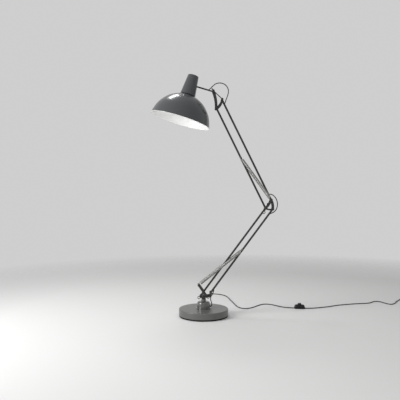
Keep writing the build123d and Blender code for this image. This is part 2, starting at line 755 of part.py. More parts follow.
HEAD_STEM_LENGTH = 103.0
stem_plane = Plane(origin=spot(HEAD_PIVOT), x_dir=(0, 1, 0), z_dir=[-v for v in SHADE_OUT])
with BuildPart() as head_stem:
    with BuildSketch(stem_plane.offset(6)):
        Circle(HEAD_STEM_R)
    extrude(amount=HEAD_STEM_LENGTH - 6)
    with BuildSketch(lamp_plane(KNUCKLE / 2)):
        with Locations(HEAD_PIVOT):
            RegularPolygon(7.5, 16)
    extrude(amount=KNUCKLE)
    with BuildSketch(stem_plane.offset(13)):
        Circle(HEAD_STEM_BORE)
    extrude(amount=HEAD_STEM_LENGTH, mode=Mode.SUBTRACT)
    with BuildSketch(Plane(origin=spot(HEAD_PIVOT), x_dir=[-v for v in SHADE_OUT], z_dir=SHADE_AXIS)):
        with Locations((28, 0)):
            Rectangle(24, 6.2)
    extrude(amount=HEAD_STEM_R + 2, mode=Mode.SUBTRACT)
    with BuildSketch(lamp_plane(KNUCKLE)):
        with Locations(HEAD_PIVOT):
            pivot_bore()
    extrude(amount=2 * KNUCKLE, mode=Mode.SUBTRACT)
head_stem.part.label = "head_stem"
export_step(head_stem.part, "parts/head_stem.step")

HOLDER_R = 17.0
HOLDER_BOTTOM = 112.0
with BuildPart() as lampholder:
    with BuildSketch(shade_section):
        with BuildLine():
            Polyline(
                (0, HOLDER_BOTTOM + 30),
                (14, HOLDER_BOTTOM + 30),
                (14, HOLDER_BOTTOM),
                (HOLDER_R, HOLDER_BOTTOM),
                (HOLDER_R, DOME_HEIGHT - 4),
                (HOLDER_HOLE_R + 4, DOME_HEIGHT - 4),
                (HOLDER_HOLE_R + 4, DOME_HEIGHT - 1),
                (HOLDER_R + 1, DOME_HEIGHT - 1),
                (HOLDER_R - 2, DOME_HEIGHT + 26),
                (0, DOME_HEIGHT + 26),
                close=True,
            )
        make_face()
    revolve(axis=shade_axis)
lampholder.part.label = "lampholder"
export_step(lampholder.part, "parts/lampholder.step")

BULB_R = 30.0
BULB_AT = 72.0
with BuildPart() as bulb:
    with BuildSketch(shade_section):
        with BuildLine():
            Polyline(
                (0, BULB_AT - BULB_R),
                (BULB_R * 0.5, BULB_AT - BULB_R * 0.86),
                (BULB_R * 0.88, BULB_AT - BULB_R * 0.47),
                (BULB_R, BULB_AT),
                (BULB_R * 0.88, BULB_AT + BULB_R * 0.47),
                (13.2, HOLDER_BOTTOM + 1),
                (13.2, HOLDER_BOTTOM + 27),
                (0, HOLDER_BOTTOM + 27),
                close=True,
            )
        make_face()
    revolve(axis=shade_axis)
bulb.part.label = "bulb"
export_step(bulb.part, "parts/bulb.step")


# ------------------------------------------------------------------------ springs

def biarc(start, start_way, end, end_way):
    """Two tangent arcs between two places with given directions, or a line if they agree."""
    chord = end - start
    if start_way.cross(chord.normalized()).length < 1e-6 and start_way.cross(end_way).length < 1e-6:
        Line(start, end)
        return
    spread = 2 * (1 - start_way.dot(end_way))
    reach = chord.dot(start_way + end_way)
    if spread < 1e-9:
        handle = chord.dot(chord) / (2 * reach)
    else:
        handle = (-reach + sqrt(reach * reach + spread * chord.dot(chord))) / spread
    joint = (start + end + (start_way - end_way) * handle) * 0.5
    first = TangentArc(start, joint, tangent=start_way)
    TangentArc(joint, end, tangent=first % 1)


def spring_stations(foot, top, y):
    """Places and directions of the wire: a hook, a lead, the curls, a lead and a hook."""
    foot_at = spot(foot, y)
    top_at = spot(top, y)
    way = (top_at - foot_at).normalized()
    side = Vector(0, 1, 0)
    up = way.cross(side)
    length = (top_at - foot_at).length
    pitch = (length - 2 * SPRING_LEAD) / CURLS
    stations = [(foot_at + way * EYE_LOOP_R + up * 2, up * -1)]
    for quarter in (3, 2, 1, 0):
        turn = quarter * pi / 2
        place = foot_at + (up * cos(turn) - way * sin(turn)) * EYE_LOOP_R
        stations.append((place, up * sin(turn) + way * cos(turn)))
    stations.append((foot_at + up * EYE_LOOP_R + way * (SPRING_LEAD - 12), way))
    for half in range(2 * CURLS + 1):
        turn = half * pi
        place = foot_at + way * (SPRING_LEAD + pitch * half / 2)
        place = place + (up * cos(turn) + side * sin(turn)) * COIL_R
        tangent = (side * cos(turn) - up * sin(turn)) * COIL_R + way * (pitch / (2 * pi))
        stations.append((place, tangent.normalized()))
    stations.append((top_at + up * EYE_LOOP_R - way * (SPRING_LEAD - 12), way))
    for quarter in (0, 1, 2, 3):
        turn = quarter * pi / 2
        place = top_at + (up * cos(turn) + way * sin(turn)) * EYE_LOOP_R
        stations.append((place, way * cos(turn) - up * sin(turn)))
    stations.append((top_at - way * EYE_LOOP_R + up * 2, up))
    return stations


def spring(foot, top, y):
    """One tension spring of faceted wire."""
    stations = spring_stations(foot, top, y)
    with BuildPart() as coil:
        with BuildLine() as wire:
            for (start, start_way), (end, end_way) in zip(stations, stations[1:]):
                biarc(start, start_way, end, end_way)
        with BuildSketch(Plane(origin=stations[0][0], x_dir=(0, 1, 0), z_dir=stations[0][1])):
            RegularPolygon(SPRING_WIRE * 0.6, 3)
        sweep(path=wire.wire(), clean=False)
    return coil


for arm, foot, top in (("lower", SPRING_ANCHOR, LOWER_STUD), ("upper", ELBOW_TOP, UPPER_STUD)):
    for depth, y in (("front", -SPRING_Y), ("rear", SPRING_Y)):
        arm_spring = spring(foot, top, y)
        arm_spring.part.label = f"{arm}_spring_{depth}"
        export_step(arm_spring.part, f"parts/{arm}_spring_{depth}.step")


def spring_studs(point):
    """Headed studs on both faces of a bar, for the springs' upper hooks."""
    root = BAR / 2 + RUNNING_GAP
    tip = SPRING_Y + LOOP_ROOM
    with BuildPart() as studs:
        for face, head_face in ((tip, tip + 2), (-root, -tip)):
            with BuildSketch(lamp_plane(face)):
                with Locations(point):
                    small_round(PIN_R)
            extrude(amount=tip - root)
            with BuildSketch(lamp_plane(head_face)):
                with Locations(point):
                    RegularPolygon(SPACER_R, 6)
            extrude(amount=2)
    return studs


lower_spring_studs = spring_studs(LOWER_STUD)
lower_spring_studs.part.label = "lower_spring_studs"
export_step(lower_spring_studs.part, "parts/lower_spring_studs.step")

upper_spring_studs = spring_studs(UPPER_STUD)
upper_spring_studs.part.label = "upper_spring_studs"
export_step(upper_spring_studs.part, "parts/upper_spring_studs.step")


# --------------------------------------------------------------------------- flex

def corner_radii(points):
    """For each corner, the largest arc that its two runs allow."""
    radii = []
    for before, corner, after in zip(points, points[1:], points[2:]):
        arriving = Vector(*corner) - Vector(*before)
        leaving = Vector(*after) - Vector(*corner)
        turn = radians(arriving.get_angle(leaving))
        shorter = min(arriving.length, leaving.length)
        radii.append(0.45 * shorter / tan(turn / 2))
    return radii


def flex_tube(name, points):
    """A faceted flex along straight runs joined by arcs."""
    radii = corner_radii(points)
    with BuildPart() as tube:
        with BuildLine() as route:
            FilletPolyline(*points, radius=radii)
        heading = Vector(*points[1]) - Vector(*points[0])
        with BuildSketch(Plane(origin=points[0], z_dir=heading)) as section:
            RegularPolygon(FLEX / 2, FLEX_SIDES)
        sweep(path=route.wire(), clean=False)
    length = route.wire().length
    share = tube.part.volume / (section.sketch.area * length)
    print(name, "length", round(length), "volume share", round(share, 4))
    print("  radii", [round(radius) for radius in radii])
    return tube


def upright(points):
    """Points of the upright plane as places in space."""
    return [(x, 0, z) for x, z in points]


def in_bar(foot, angle, distance, out=0.0):
    """A point along a bar, and out from its axis to the lamp's right."""
    return along(along(foot, angle, distance), angle - 90, out)


INNER_END = 46.0
lower_bar_cable = flex_tube("lower_bar_cable", upright([
    in_bar(LOWER_RIGHT_FOOT, LOWER_ANGLE, INNER_END),
    in_bar(LOWER_RIGHT_FOOT, LOWER_ANGLE, LOWER_LENGTH / 2, 0.2),
    in_bar(LOWER_RIGHT_FOOT, LOWER_ANGLE, LOWER_LENGTH - INNER_END),
]))
lower_bar_cable.part.label = "lower_bar_cable"
export_step(lower_bar_cable.part, "parts/lower_bar_cable.step")

upper_bar_cable = flex_tube("upper_bar_cable", upright([
    in_bar(ELBOW_TOP, UPPER_ANGLE, INNER_END),
    in_bar(ELBOW_TOP, UPPER_ANGLE, UPPER_LENGTH / 2, 0.2),
    in_bar(ELBOW_TOP, UPPER_ANGLE, UPPER_LENGTH - INNER_END),
]))
upper_bar_cable.part.label = "upper_bar_cable"
export_step(upper_bar_cable.part, "parts/upper_bar_cable.step")

base_cable_loop = flex_tube("base_cable_loop", upright([
    in_bar(LOWER_RIGHT_FOOT, LOWER_ANGLE, INNER_END),
    in_bar(LOWER_RIGHT_FOOT, LOWER_ANGLE, 32),
    (61.5, 150.0),
    (54.0, 132.0),
    (43.5, 115.0),
    (42.5, 98.0),
    (48.5, 82.0),
    (50.5, 68.0),
    (47.5, CABLE_ENTRY_Z),
    (36.0, CABLE_ENTRY_Z),
]))
base_cable_loop.part.label = "base_cable_loop"
export_step(base_cable_loop.part, "parts/base_cable_loop.step")

elbow_cable_loop = flex_tube("elbow_cable_loop", upright([
    in_bar(ELBOW_TOP, UPPER_ANGLE, INNER_END),
    in_bar(ELBOW_TOP, UPPER_ANGLE, 36),
    (409.0, 742.0),
    (426.0, 735.0),
    (443.0, 715.0),
    (451.0, 690.0),
    (450.0, 664.0),
    (440.0, 642.0),
    (423.0, 628.0),
    in_bar(LOWER_RIGHT_FOOT, LOWER_ANGLE, LOWER_LENGTH - 36),
    in_bar(LOWER_RIGHT_FOOT, LOWER_ANGLE, LOWER_LENGTH - INNER_END),
]))
elbow_cable_loop.part.label = "elbow_cable_loop"
export_step(elbow_cable_loop.part, "parts/elbow_cable_loop.step")


def in_stem(distance, out=0.0):
    """A point along the head's stem from its pivot, and out towards the cap's top."""
    x = HEAD_PIVOT[0] - SHADE_OUT[0] * distance + SHADE_AXIS[0] * out
    z = HEAD_PIVOT[1] - SHADE_OUT[2] * distance + SHADE_AXIS[2] * out
    return (x, z)


head_cable_loop = flex_tube("head_cable_loop", upright([
    in_stem(40),
    in_stem(31),
    (48.0, 1392.0),
    (68.0, 1413.0),
    (93.0, 1421.0),
    (121.0, 1417.0),
    (143.0, 1400.0),
    (153.5, 1374.0),
    (148.5, 1346.0),
    (139.0, 1322.0),
    (131.5, 1300.0),
    in_bar(ELBOW_TOP, UPPER_ANGLE, UPPER_LENGTH - 34),
    in_bar(ELBOW_TOP, UPPER_ANGLE, UPPER_LENGTH - INNER_END),
]))
head_cable_loop.part.label = "head_cable_loop"
export_step(head_cable_loop.part, "parts/head_cable_loop.step")

head_inner_cable = flex_tube("head_inner_cable", upright([
    in_stem(40),
    in_stem(106, 0),
    in_stem(128, -3),
    in_stem(143, -22),
    in_stem(143.6, -40),
]))
head_inner_cable.part.label = "head_inner_cable"
export_step(head_inner_cable.part, "parts/head_inner_cable.step")

CABLE_JOIN_Z = 30.0
stem_cable = flex_tube("stem_cable", [
    (36, 0, CABLE_ENTRY_Z),
    (0, 0, CABLE_ENTRY_Z),
    (0, 0, CABLE_JOIN_Z),
])
stem_cable.part.label = "stem_cable"
export_step(stem_cable.part, "parts/stem_cable.step")

base_inner_cord = flex_tube("base_inner_cord", [
    (0, 0, CABLE_JOIN_Z),
    (0, 0, GLAND_Z),
    (0, BASE_R - 6, GLAND_Z),
])
base_inner_cord.part.label = "base_inner_cord"
export_step(base_inner_cord.part, "parts/base_inner_cord.step")


def on_floor(points):
    """Floor points as places for the flex's centre line."""
    return [(x, y, FLOOR_Z) for x, y in points]


def from_switch(distance):
    """A floor point on the foot switch's long axis, from its centre."""
    x = SWITCH_AT[0] + distance * cos(radians(SWITCH_TURN))
    y = SWITCH_AT[1] + distance * sin(radians(SWITCH_TURN))
    return (x, y)


mains_cord = flex_tube("mains_cord", [
    (0, BASE_R - 6, GLAND_Z),
    (0, BASE_R + 30, GLAND_Z),
    (2, BASE_R + 68, GLAND_Z - 5),
    (9, BASE_R + 110, FLOOR_Z),
] + on_floor([
    (21, 318),
    (22, 380),
    (11, 448),
    (3, 515),
    (6, 585),
    (27, 648),
    (72, 684),
    (127, 662),
    (165, 612),
    (182, 540),
    (190, 462),
    (203, 385),
    (213, 305),
    (224, 240),
    (246, 192),
    (285, 182),
    (330, 225),
    (368, 284),
    (410, 326),
    (459, 309),
    (497, 256),
    (524, 226),
    from_switch(-SWITCH_LENGTH / 2 - 28),
    from_switch(-SWITCH_LENGTH / 2),
]))
mains_cord.part.label = "mains_cord"
export_step(mains_cord.part, "parts/mains_cord.step")

switch_cord = flex_tube("switch_cord", on_floor([
    from_switch(SWITCH_LENGTH / 2),
    from_switch(SWITCH_LENGTH / 2 + 26),
    (727, 200),
    (774, 218),
    (832, 243),
    (893, 284),
    (963, 309),
    (1040, 334),
    (1105, 342),
    (1150, 364),
    (1180, 410),
    (1224, 406),
    (1238, 352),
    (1262, 304),
    (1304, 344),
    (1338, 404),
    along(COIL_START, COIL_HEADING + 180, 70),
    COIL_START,
]))
switch_cord.part.label = "switch_cord"
export_step(switch_cord.part, "parts/switch_cord.step")

# The spare flex spirals in, climbs a layer where the spiral reverses, and spirals out.
COIL_REVERSE = COIL_TURNS / 2
COIL_CLIMB = 0.5
coil_centre = Vector(
    COIL_START[0] + COIL_OUTER_R * sin(radians(COIL_HEADING)),
    COIL_START[1] - COIL_OUTER_R * cos(radians(COIL_HEADING)),
)


def coil_place(turn):
    """The flex's centre line after a number of turns of the coil."""
    angle = radians(COIL_HEADING + 90 - 360 * turn)
    inward = min(turn, 2 * COIL_REVERSE - turn)
    radius = COIL_OUTER_R - COIL_PITCH * inward
    climbed = min(max((turn - COIL_REVERSE) / COIL_CLIMB + 0.5, 0), 1)
    return coil_centre + Vector(radius * cos(angle), radius * sin(angle), FLOOR_Z + COIL_PITCH * climbed)


def coil_way(turn):
    """The flex's direction there."""
    return (coil_place(turn + 0.01) - coil_place(turn - 0.01)).normalized()


STEPS = round(COIL_TURNS * 3)
coil_stations = [(coil_place(0), Vector(cos(radians(COIL_HEADING)), sin(radians(COIL_HEADING)), 0))]
for step in range(1, STEPS + 1):
    coil_stations.append((coil_place(step * COIL_TURNS / STEPS), coil_way(step * COIL_TURNS / STEPS)))
PLUG_Z = 7.2
tail_way = Vector(coil_stations[-1][1].X, coil_stations[-1][1].Y, 0).normalized()
plug_at = coil_stations[-1][0] + tail_way * 40
plug_at = Vector(plug_at.X, plug_at.Y, PLUG_Z)
coil_stations.append((plug_at - tail_way * FLEX, tail_way))
coil_stations.append((plug_at, tail_way))

with BuildPart() as cord_coil:
    with BuildLine() as coil_route:
        for (place, way), (next_place, next_way) in zip(coil_stations, coil_stations[1:]):
            biarc(place, way, next_place, next_way)
    with BuildSketch(Plane(origin=coil_stations[0][0], z_dir=coil_stations[0][1])):
        RegularPolygon(FLEX / 2, FLEX_SIDES)
    sweep(path=coil_route.wire(), clean=False)
cord_coil.part.label = "cord_coil"
export_step(cord_coil.part, "parts/cord_coil.step")


def least_gap(route, width, apart):
    """The least gap of a tube to itself, between points that are some way apart along it."""
    count = round(route.length / (width * 0.4))
    step = route.length / count
    places = [route @ (i / count) for i in range(count + 1)]
    skip = round(apart / step)
    gaps = [(places[j] - places[i]).length for i in range(count) for j in range(i + skip, count + 1)]
    return min(gaps) - width


coil_wire = coil_route.wire()
print("cord_coil length", round(coil_wire.length), "gap", round(least_gap(coil_wire, FLEX, 60), 2))


# ------------------------------------------------------------- foot switch and plug

switch_plane = Plane(
    origin=(SWITCH_AT[0], SWITCH_AT[1], 0),
    x_dir=(cos(radians(SWITCH_TURN)), sin(radians(SWITCH_TURN)), 0),
    z_dir=(0, 0, 1),
)
with BuildPart() as foot_switch_base:
    with BuildSketch(switch_plane):
        RectangleRounded(SWITCH_LENGTH, SWITCH_WIDTH, 12)
    extrude(amount=SWITCH_BASE)
    for side in (0, 180):
        with BuildSketch(switch_plane.rotated((0, 90, side)).offset(SWITCH_LENGTH / 2 - 10)):
            with Locations((-FLOOR_Z, 0)):
                Circle(FLEX / 2 + 0.1)
        extrude(amount=11, mode=Mode.SUBTRACT)
foot_switch_base.part.label = "foot_switch_base"
export_step(foot_switch_base.part, "parts/foot_switch_base.step")

BUTTON_GAP = 0.3
with BuildPart() as foot_switch_cover:
    with BuildSketch(switch_plane.offset(SWITCH_BASE)):
        RectangleRounded(SWITCH_LENGTH, SWITCH_WIDTH, 12)
    extrude(amount=SWITCH_HEIGHT - 4 - SWITCH_BASE, taper=18)
    with BuildSketch(switch_plane.offset(SWITCH_HEIGHT - 4)):
        Circle(BUTTON_R + 2.5)
    extrude(amount=2)
    with BuildSketch(switch_plane.offset(SWITCH_BASE + 5)):
        Circle(BUTTON_R + BUTTON_GAP)
    extrude(amount=SWITCH_HEIGHT, mode=Mode.SUBTRACT)
foot_switch_cover.part.label = "foot_switch_cover"
export_step(foot_switch_cover.part, "parts/foot_switch_cover.step")

with BuildPart() as foot_switch_button:
    with BuildSketch(switch_plane.offset(SWITCH_BASE + 9)):
        Circle(BUTTON_R)
    extrude(amount=SWITCH_HEIGHT + BUTTON_PROUD - SWITCH_BASE - 9)
    chamfer(foot_switch_button.edges().group_by(Axis.Z)[-1], 1.5)
foot_switch_button.part.label = "foot_switch_button"
export_step(foot_switch_button.part, "parts/foot_switch_button.step")

PLUG_LENGTH = 37.0
PLUG_WIDTH = 34.0
PIN_SPAN = 19.0
plug_plane = Plane(origin=plug_at, x_dir=(-tail_way.Y, tail_way.X, 0), z_dir=tail_way)
with BuildPart() as mains_plug:
    with BuildSketch(plug_plane):
        Rectangle(10, 10)
    with BuildSketch(plug_plane.offset(14)):
        Rectangle(22, 13.6)
    loft(ruled=True)
    with BuildSketch(plug_plane.offset(14)):
        Rectangle(22, 13.6)
    with BuildSketch(plug_plane.offset(PLUG_LENGTH)):
        Rectangle(PLUG_WIDTH, 13.6)
    loft(ruled=True)
mains_plug.part.label = "mains_plug"
export_step(mains_plug.part, "parts/mains_plug.step")

with BuildPart() as plug_pins:
    with BuildSketch(plug_plane.offset(PLUG_LENGTH)):
        with Locations((-PIN_SPAN / 2, 0), (PIN_SPAN / 2, 0)):
            small_round(2)
    extrude(amount=19)
plug_pins.part.label = "plug_pins"
export_step(plug_pins.part, "parts/plug_pins.step")
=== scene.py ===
from math import cos, pi, radians, sin, sqrt

import bmesh
import bpy
from bpy.props import FloatProperty, FloatVectorProperty, PointerProperty
from bpy.types import Operator, Panel, PropertyGroup
from mathutils import Matrix, Vector


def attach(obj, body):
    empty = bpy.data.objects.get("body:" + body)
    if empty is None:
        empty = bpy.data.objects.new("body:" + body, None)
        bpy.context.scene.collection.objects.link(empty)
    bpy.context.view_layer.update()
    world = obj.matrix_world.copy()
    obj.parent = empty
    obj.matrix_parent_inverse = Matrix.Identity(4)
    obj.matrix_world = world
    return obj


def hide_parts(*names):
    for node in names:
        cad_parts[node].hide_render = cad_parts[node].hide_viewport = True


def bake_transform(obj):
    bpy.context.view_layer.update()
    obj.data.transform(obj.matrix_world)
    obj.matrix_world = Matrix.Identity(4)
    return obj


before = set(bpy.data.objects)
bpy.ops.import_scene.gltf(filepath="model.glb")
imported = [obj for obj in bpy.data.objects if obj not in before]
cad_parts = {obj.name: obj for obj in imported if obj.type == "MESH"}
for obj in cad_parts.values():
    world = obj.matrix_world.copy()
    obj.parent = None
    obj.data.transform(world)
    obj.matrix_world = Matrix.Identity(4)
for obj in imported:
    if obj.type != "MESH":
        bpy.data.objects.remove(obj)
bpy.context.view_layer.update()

bl_info = {
    "name": "Articulated floor lamp",
    "version": (1, 0, 0),
    "blender": (4, 5, 0),
    "location": "View3D > Sidebar > Floor lamp",
    "description": "A tall spring-balanced floor lamp with a domed shade and a weighted round base",
    "category": "Add Mesh",
}

MM = 0.001

# The lamp's pivots, as (X, Z) in millimetres in its own upright plane
TILT_PIVOT = (0.0, 118.0)
LOWER_LEFT_FOOT = (0.0, 147.4)
LOWER_LINK = (43.3, -6.1)
UPPER_LINK = (33.5, 52.4)
LOWER_ANGLE, LOWER_LENGTH = 53.4, 633.3
UPPER_ANGLE, UPPER_LENGTH = 116.1, 678.0
HEAD_PIVOT = (59.5, 1367.0)
SPRING_ANCHOR = (-29.6, 189.4)
LOWER_SPRING_REACH, UPPER_SPRING_REACH = 324.0, 342.0

# The shade's axis and the centre of its rim
SHADE_TILT = 16.5
RIM_CENTRE = (-142.4, 1190.8)


def along(start, angle, distance):
    """The point at a distance from start, in the lamp's upright plane, in millimetres."""
    return (start[0] + distance * cos(radians(angle)), start[1] + distance * sin(radians(angle)))


def plus(point, step):
    return (point[0] + step[0], point[1] + step[1])


def spot(point, y=0.0):
    """A point of the upright plane as a place in metres; y is in millimetres."""
    return Vector((point[0], y, point[1])) * MM


LOWER_RIGHT_FOOT = plus(LOWER_LEFT_FOOT, LOWER_LINK)
ELBOW_LEFT = along(LOWER_LEFT_FOOT, LOWER_ANGLE, LOWER_LENGTH)
ELBOW_TOP = plus(ELBOW_LEFT, UPPER_LINK)
LOWER_STUD = along(LOWER_RIGHT_FOOT, LOWER_ANGLE, LOWER_SPRING_REACH)
UPPER_STUD = along(ELBOW_LEFT, UPPER_ANGLE, UPPER_SPRING_REACH)
SHADE_AXIS = Vector((sin(radians(SHADE_TILT)), 0, cos(radians(SHADE_TILT))))
SHADE_OUT = Vector((cos(radians(SHADE_TILT)), 0, -sin(radians(SHADE_TILT))))
ORIGIN = Vector()
X_AXIS, Y_AXIS, Z_AXIS = Vector((1, 0, 0)), Vector((0, 1, 0)), Vector((0, 0, 1))


# ---- properties

def colour(name, description, value):
    """A paint or sheath colour, in linear light."""
    return FloatVectorProperty(
        name=name, description=description, subtype="COLOR", size=3, min=0, max=1, default=value
    )


def length(name, description, value):
    return FloatProperty(name=name, description=description, unit="LENGTH", min=0, default=value)


class LampColours(PropertyGroup):
    """The colours of the lamp's finishes."""

    arms: colour("Arms", "Satin paint of the bars and brackets", (0.021, 0.022, 0.020))
    base: colour("Base", "Satin paint of the round base", (0.094, 0.096, 0.090))
    collar: colour("Collar", "Gloss paint of the swivel collar", (0.047, 0.047, 0.045))
    shade: colour("Shade", "Gloss enamel outside the shade and cap", (0.055, 0.057, 0.060))
    lining: colour("Lining", "White enamel inside the shade", (0.87, 0.87, 0.86))
    steel: colour("Springs", "Bare drawn steel wire", (0.42, 0.42, 0.405))
    zinc: colour("Fixings", "Zinc plated bolts and nuts", (0.20, 0.20, 0.195))
    bolts: colour("Bolts", "Burnished steel bolts and pins", (0.075, 0.073, 0.07))
    flex: colour("Flex", "Sheath of the flex", (0.012, 0.012, 0.013))
    plastic: colour("Plastic", "Moulded switch and plug", (0.007, 0.007, 0.0075))
    bulb: colour("Bulb", "Opal glass", (0.82, 0.81, 0.78))


class LampSizes(PropertyGroup):
    """Sizes that a user would change together with the metal parts."""

    flex: length("Flex", "Diameter of the flex", 0.0058)
    wire: length("Spring wire", "Diameter of the spring wire", 0.0022)
    coil: length("Spring coil", "Mean radius of a spring's curls", 0.0073)
    pitch: length("Spring pitch", "Distance from one curl to the next", 0.0024)
    edge: length("Edges", "Width of the softened edges of pressed parts", 0.0005)


class LampStage(PropertyGroup):
    """The camera, the floor and the light."""

    eye: FloatVectorProperty(
        name="Eye", description="Place of the camera", subtype="TRANSLATION", unit="LENGTH",
        size=3, default=(-0.0217, -2.970, 0.706),
    )
    lens: FloatProperty(
        name="Lens", description="Focal length in millimetres", min=10, default=43.83
    )
    floor: colour("Floor", "Plain pale floor", (0.68, 0.68, 0.675))
    backdrop: colour("Backdrop", "What the camera sees behind the lamp", (0.62, 0.62, 0.62))


# ---- materials

NOISE_MEAN = 0.5
GRAIN_DEPTH = 0.00008
# Black of the rubber pad, which also serves as painted shadow where the base meets the floor
PAD_AND_SHADOW_BLACK = (0.006, 0.006, 0.006)
IRON_GREY = (0.08, 0.08, 0.08)
NICKEL = (0.62, 0.60, 0.56)


def add_node(tree, kind, **inputs):
    """A node with some of its inputs set."""
    node = tree.nodes.new(kind)
    for name, value in inputs.items():
        node.inputs[name.replace("_", " ")].default_value = value
    return node


def add_math(tree, operation, fixed=None, clamp=False):
    """A Math node with some of its inputs set, by number."""
    node = tree.nodes.new("ShaderNodeMath")
    node.operation = operation
    node.use_clamp = clamp
    for number, value in (fixed or {}).items():
        node.inputs[number].default_value = value
    return node


def wire(tree, *links):
    """Links nodes, each link given as (node, output, node, input)."""
    for source, output, target, socket in links:
        tree.links.new(source.outputs[output], target.inputs[socket])


def finish_group():
    """Colour variation, roughness variation and a fine grain, for every finish."""
    known = bpy.data.node_groups.get("finish variation")
    if known:
        return known
    tree = bpy.data.node_groups.new("finish variation", "ShaderNodeTree")
    inputs = ("Colour", "Mottle", "Mottle Scale", "Roughness", "Roughness Spread", "Grain Scale")
    outputs = ("Colour", "Roughness", "Height")
    for side, names in (("INPUT", inputs), ("OUTPUT", outputs)):
        for name in names:
            kind = "NodeSocketColor" if name == "Colour" else "NodeSocketFloat"
            tree.interface.new_socket(name=name, in_out=side, socket_type=kind)
    given = tree.nodes.new("NodeGroupInput")
    result = tree.nodes.new("NodeGroupOutput")
    place = tree.nodes.new("ShaderNodeTexCoord")
    mottle = add_node(tree, "ShaderNodeTexNoise", Detail=5.0, Roughness=0.6)
    smudge = add_node(tree, "ShaderNodeTexNoise", Detail=3.0, Scale=31.0)
    grain = add_node(tree, "ShaderNodeTexNoise", Detail=2.0)
    centred = add_math(tree, "SUBTRACT", {1: NOISE_MEAN})
    gain = add_math(tree, "MULTIPLY_ADD", {2: 1.0})
    tint = tree.nodes.new("ShaderNodeVectorMath")
    tint.operation = "SCALE"
    rough = add_math(tree, "SUBTRACT", {1: NOISE_MEAN})
    spread = add_math(tree, "MULTIPLY_ADD", clamp=True)
    wire(
        tree,
        (place, "Object", mottle, "Vector"),
        (place, "Object", smudge, "Vector"),
        (place, "Object", grain, "Vector"),
        (given, "Mottle Scale", mottle, "Scale"),
        (given, "Grain Scale", grain, "Scale"),
        (mottle, "Fac", centred, 0),
        (centred, 0, gain, 0),
        (given, "Mottle", gain, 1),
        (given, "Colour", tint, 0),
        (gain, 0, tint, "Scale"),
        (tint, 0, result, "Colour"),
        (smudge, "Fac", rough, 0),
        (rough, 0, spread, 0),
        (given, "Roughness Spread", spread, 1),
        (given, "Roughness", spread, 2),
        (spread, 0, result, "Roughness"),
        (grain, "Fac", result, "Height"),
    )
    return tree


def finish(
    name, tint, roughness, spread=0.08, mottle=0.1, mottle_scale=14.0, grain_scale=900.0,
    bump=0.06, metallic=0.0, coat=0.0, coat_roughness=0.08, specular=0.5,
):
    """A finish made from the shared variation group and a Principled shader."""
    known = bpy.data.materials.get(name)
    if known:
        return known
    material = bpy.data.materials.new(name)
    material.use_nodes = True
    tree = material.node_tree
    shader = tree.nodes["Principled BSDF"]
    group = tree.nodes.new("ShaderNodeGroup")
    group.node_tree = finish_group()
    for socket, value in (
        ("Colour", (*tint, 1)), ("Mottle", mottle), ("Mottle Scale", mottle_scale),
        ("Roughness", roughness), ("Roughness Spread", spread), ("Grain Scale", grain_scale),
    ):
        group.inputs[socket].default_value = value
    relief = add_node(tree, "ShaderNodeBump", Strength=bump, Distance=GRAIN_DEPTH)
    wire(
        tree,
        (group, "Colour", shader, "Base Color"),
        (group, "Roughness", shader, "Roughness"),
        (group, "Height", relief, "Height"),
        (relief, "Normal", shader, "Normal"),
    )
    for socket, value in (
        ("Metallic", metallic), ("Coat Weight", coat), ("Coat Roughness", coat_roughness),
        ("Specular IOR Level", specular),
    ):
        shader.inputs[socket].default_value = value
    material.diffuse_color = (*tint, 1)
    return material


def finishes():
    """Every finish of the lamp, by name."""
    colours = bpy.context.scene.lamp_colours
    return {
        "arms": finish("arm paint", colours.arms, 0.44, mottle=0.12, coat=0.05, specular=0.4),
        "rod": finish("rod paint", colours.arms, 0.60, mottle=0.12, specular=0.2),
        "base": finish(
            "base paint", colours.base, 0.34, mottle=0.06, grain_scale=1200, bump=0.12, coat=0.2
        ),
        "collar": finish(
            "collar paint", colours.collar, 0.22, spread=0.03, bump=0.01,
            coat=1.0, coat_roughness=0.14, specular=0.9,
        ),
        "stem": finish("stem paint", colours.base, 0.30, spread=0.06, bump=0.05, coat=0.4),
        "shade": finish(
            "shade enamel", colours.shade, 0.22, spread=0.03, mottle=0.05, bump=0.0,
            coat=0.08, specular=0.38,
        ),
        "lining": finish(
            "lining enamel", colours.lining, 0.38, spread=0.05, mottle=0.02, bump=0.04
        ),
        "steel": finish(
            "spring steel", colours.steel, 0.52, mottle_scale=60, bump=0.0, metallic=1.0
        ),
        "bolts": finish(
            "burnished bolts", colours.bolts, 0.38, mottle=0.25, mottle_scale=120, metallic=1.0
        ),
        "zinc": finish(
            "zinc plate", colours.zinc, 0.36, mottle=0.25, mottle_scale=120, metallic=1.0
        ),
        "flex": finish(
            "flex sheath", colours.flex, 0.46, mottle=0.2, grain_scale=1500, bump=0.12
        ),
        "rubber": finish(
            "gland rubber", colours.flex, 0.62, mottle=0.15, grain_scale=1100, bump=0.15
        ),
        # The pad's black finish also paints the contact shadow under the base
        "pad": finish("base pad and painted shadow", PAD_AND_SHADOW_BLACK, 0.85, grain_scale=500, bump=0.5, specular=0.2),
        "plastic": finish(
            "moulded plastic", colours.plastic, 0.36, grain_scale=1600, bump=0.12, specular=0.3
        ),
        "iron": finish("cast ballast", IRON_GREY, 0.7, grain_scale=300, bump=0.6),
        "nickel": finish("plug pins", NICKEL, 0.22, metallic=1.0),
        "bulb": finish(
            "opal glass", colours.bulb, 0.18, spread=0.03, mottle=0.02, bump=0.0, coat=0.4
        ),
    }


def lay_finish(name, *nodes):
    """Gives a finish to CAD nodes that are shown as they are."""
    for node in nodes:
        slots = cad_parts[node].data.materials
        slots.clear()
        slots.append(finishes()[name])


# ---- mesh making

# Distances in metres, angles in degrees, and a curve's bevel resolution
MERGE, CAD_MERGE = 2e-6, 1e-6
FLAT_UP_TO, SHARP_FROM = 0.5, 40
FLEX_ROUNDNESS = 3


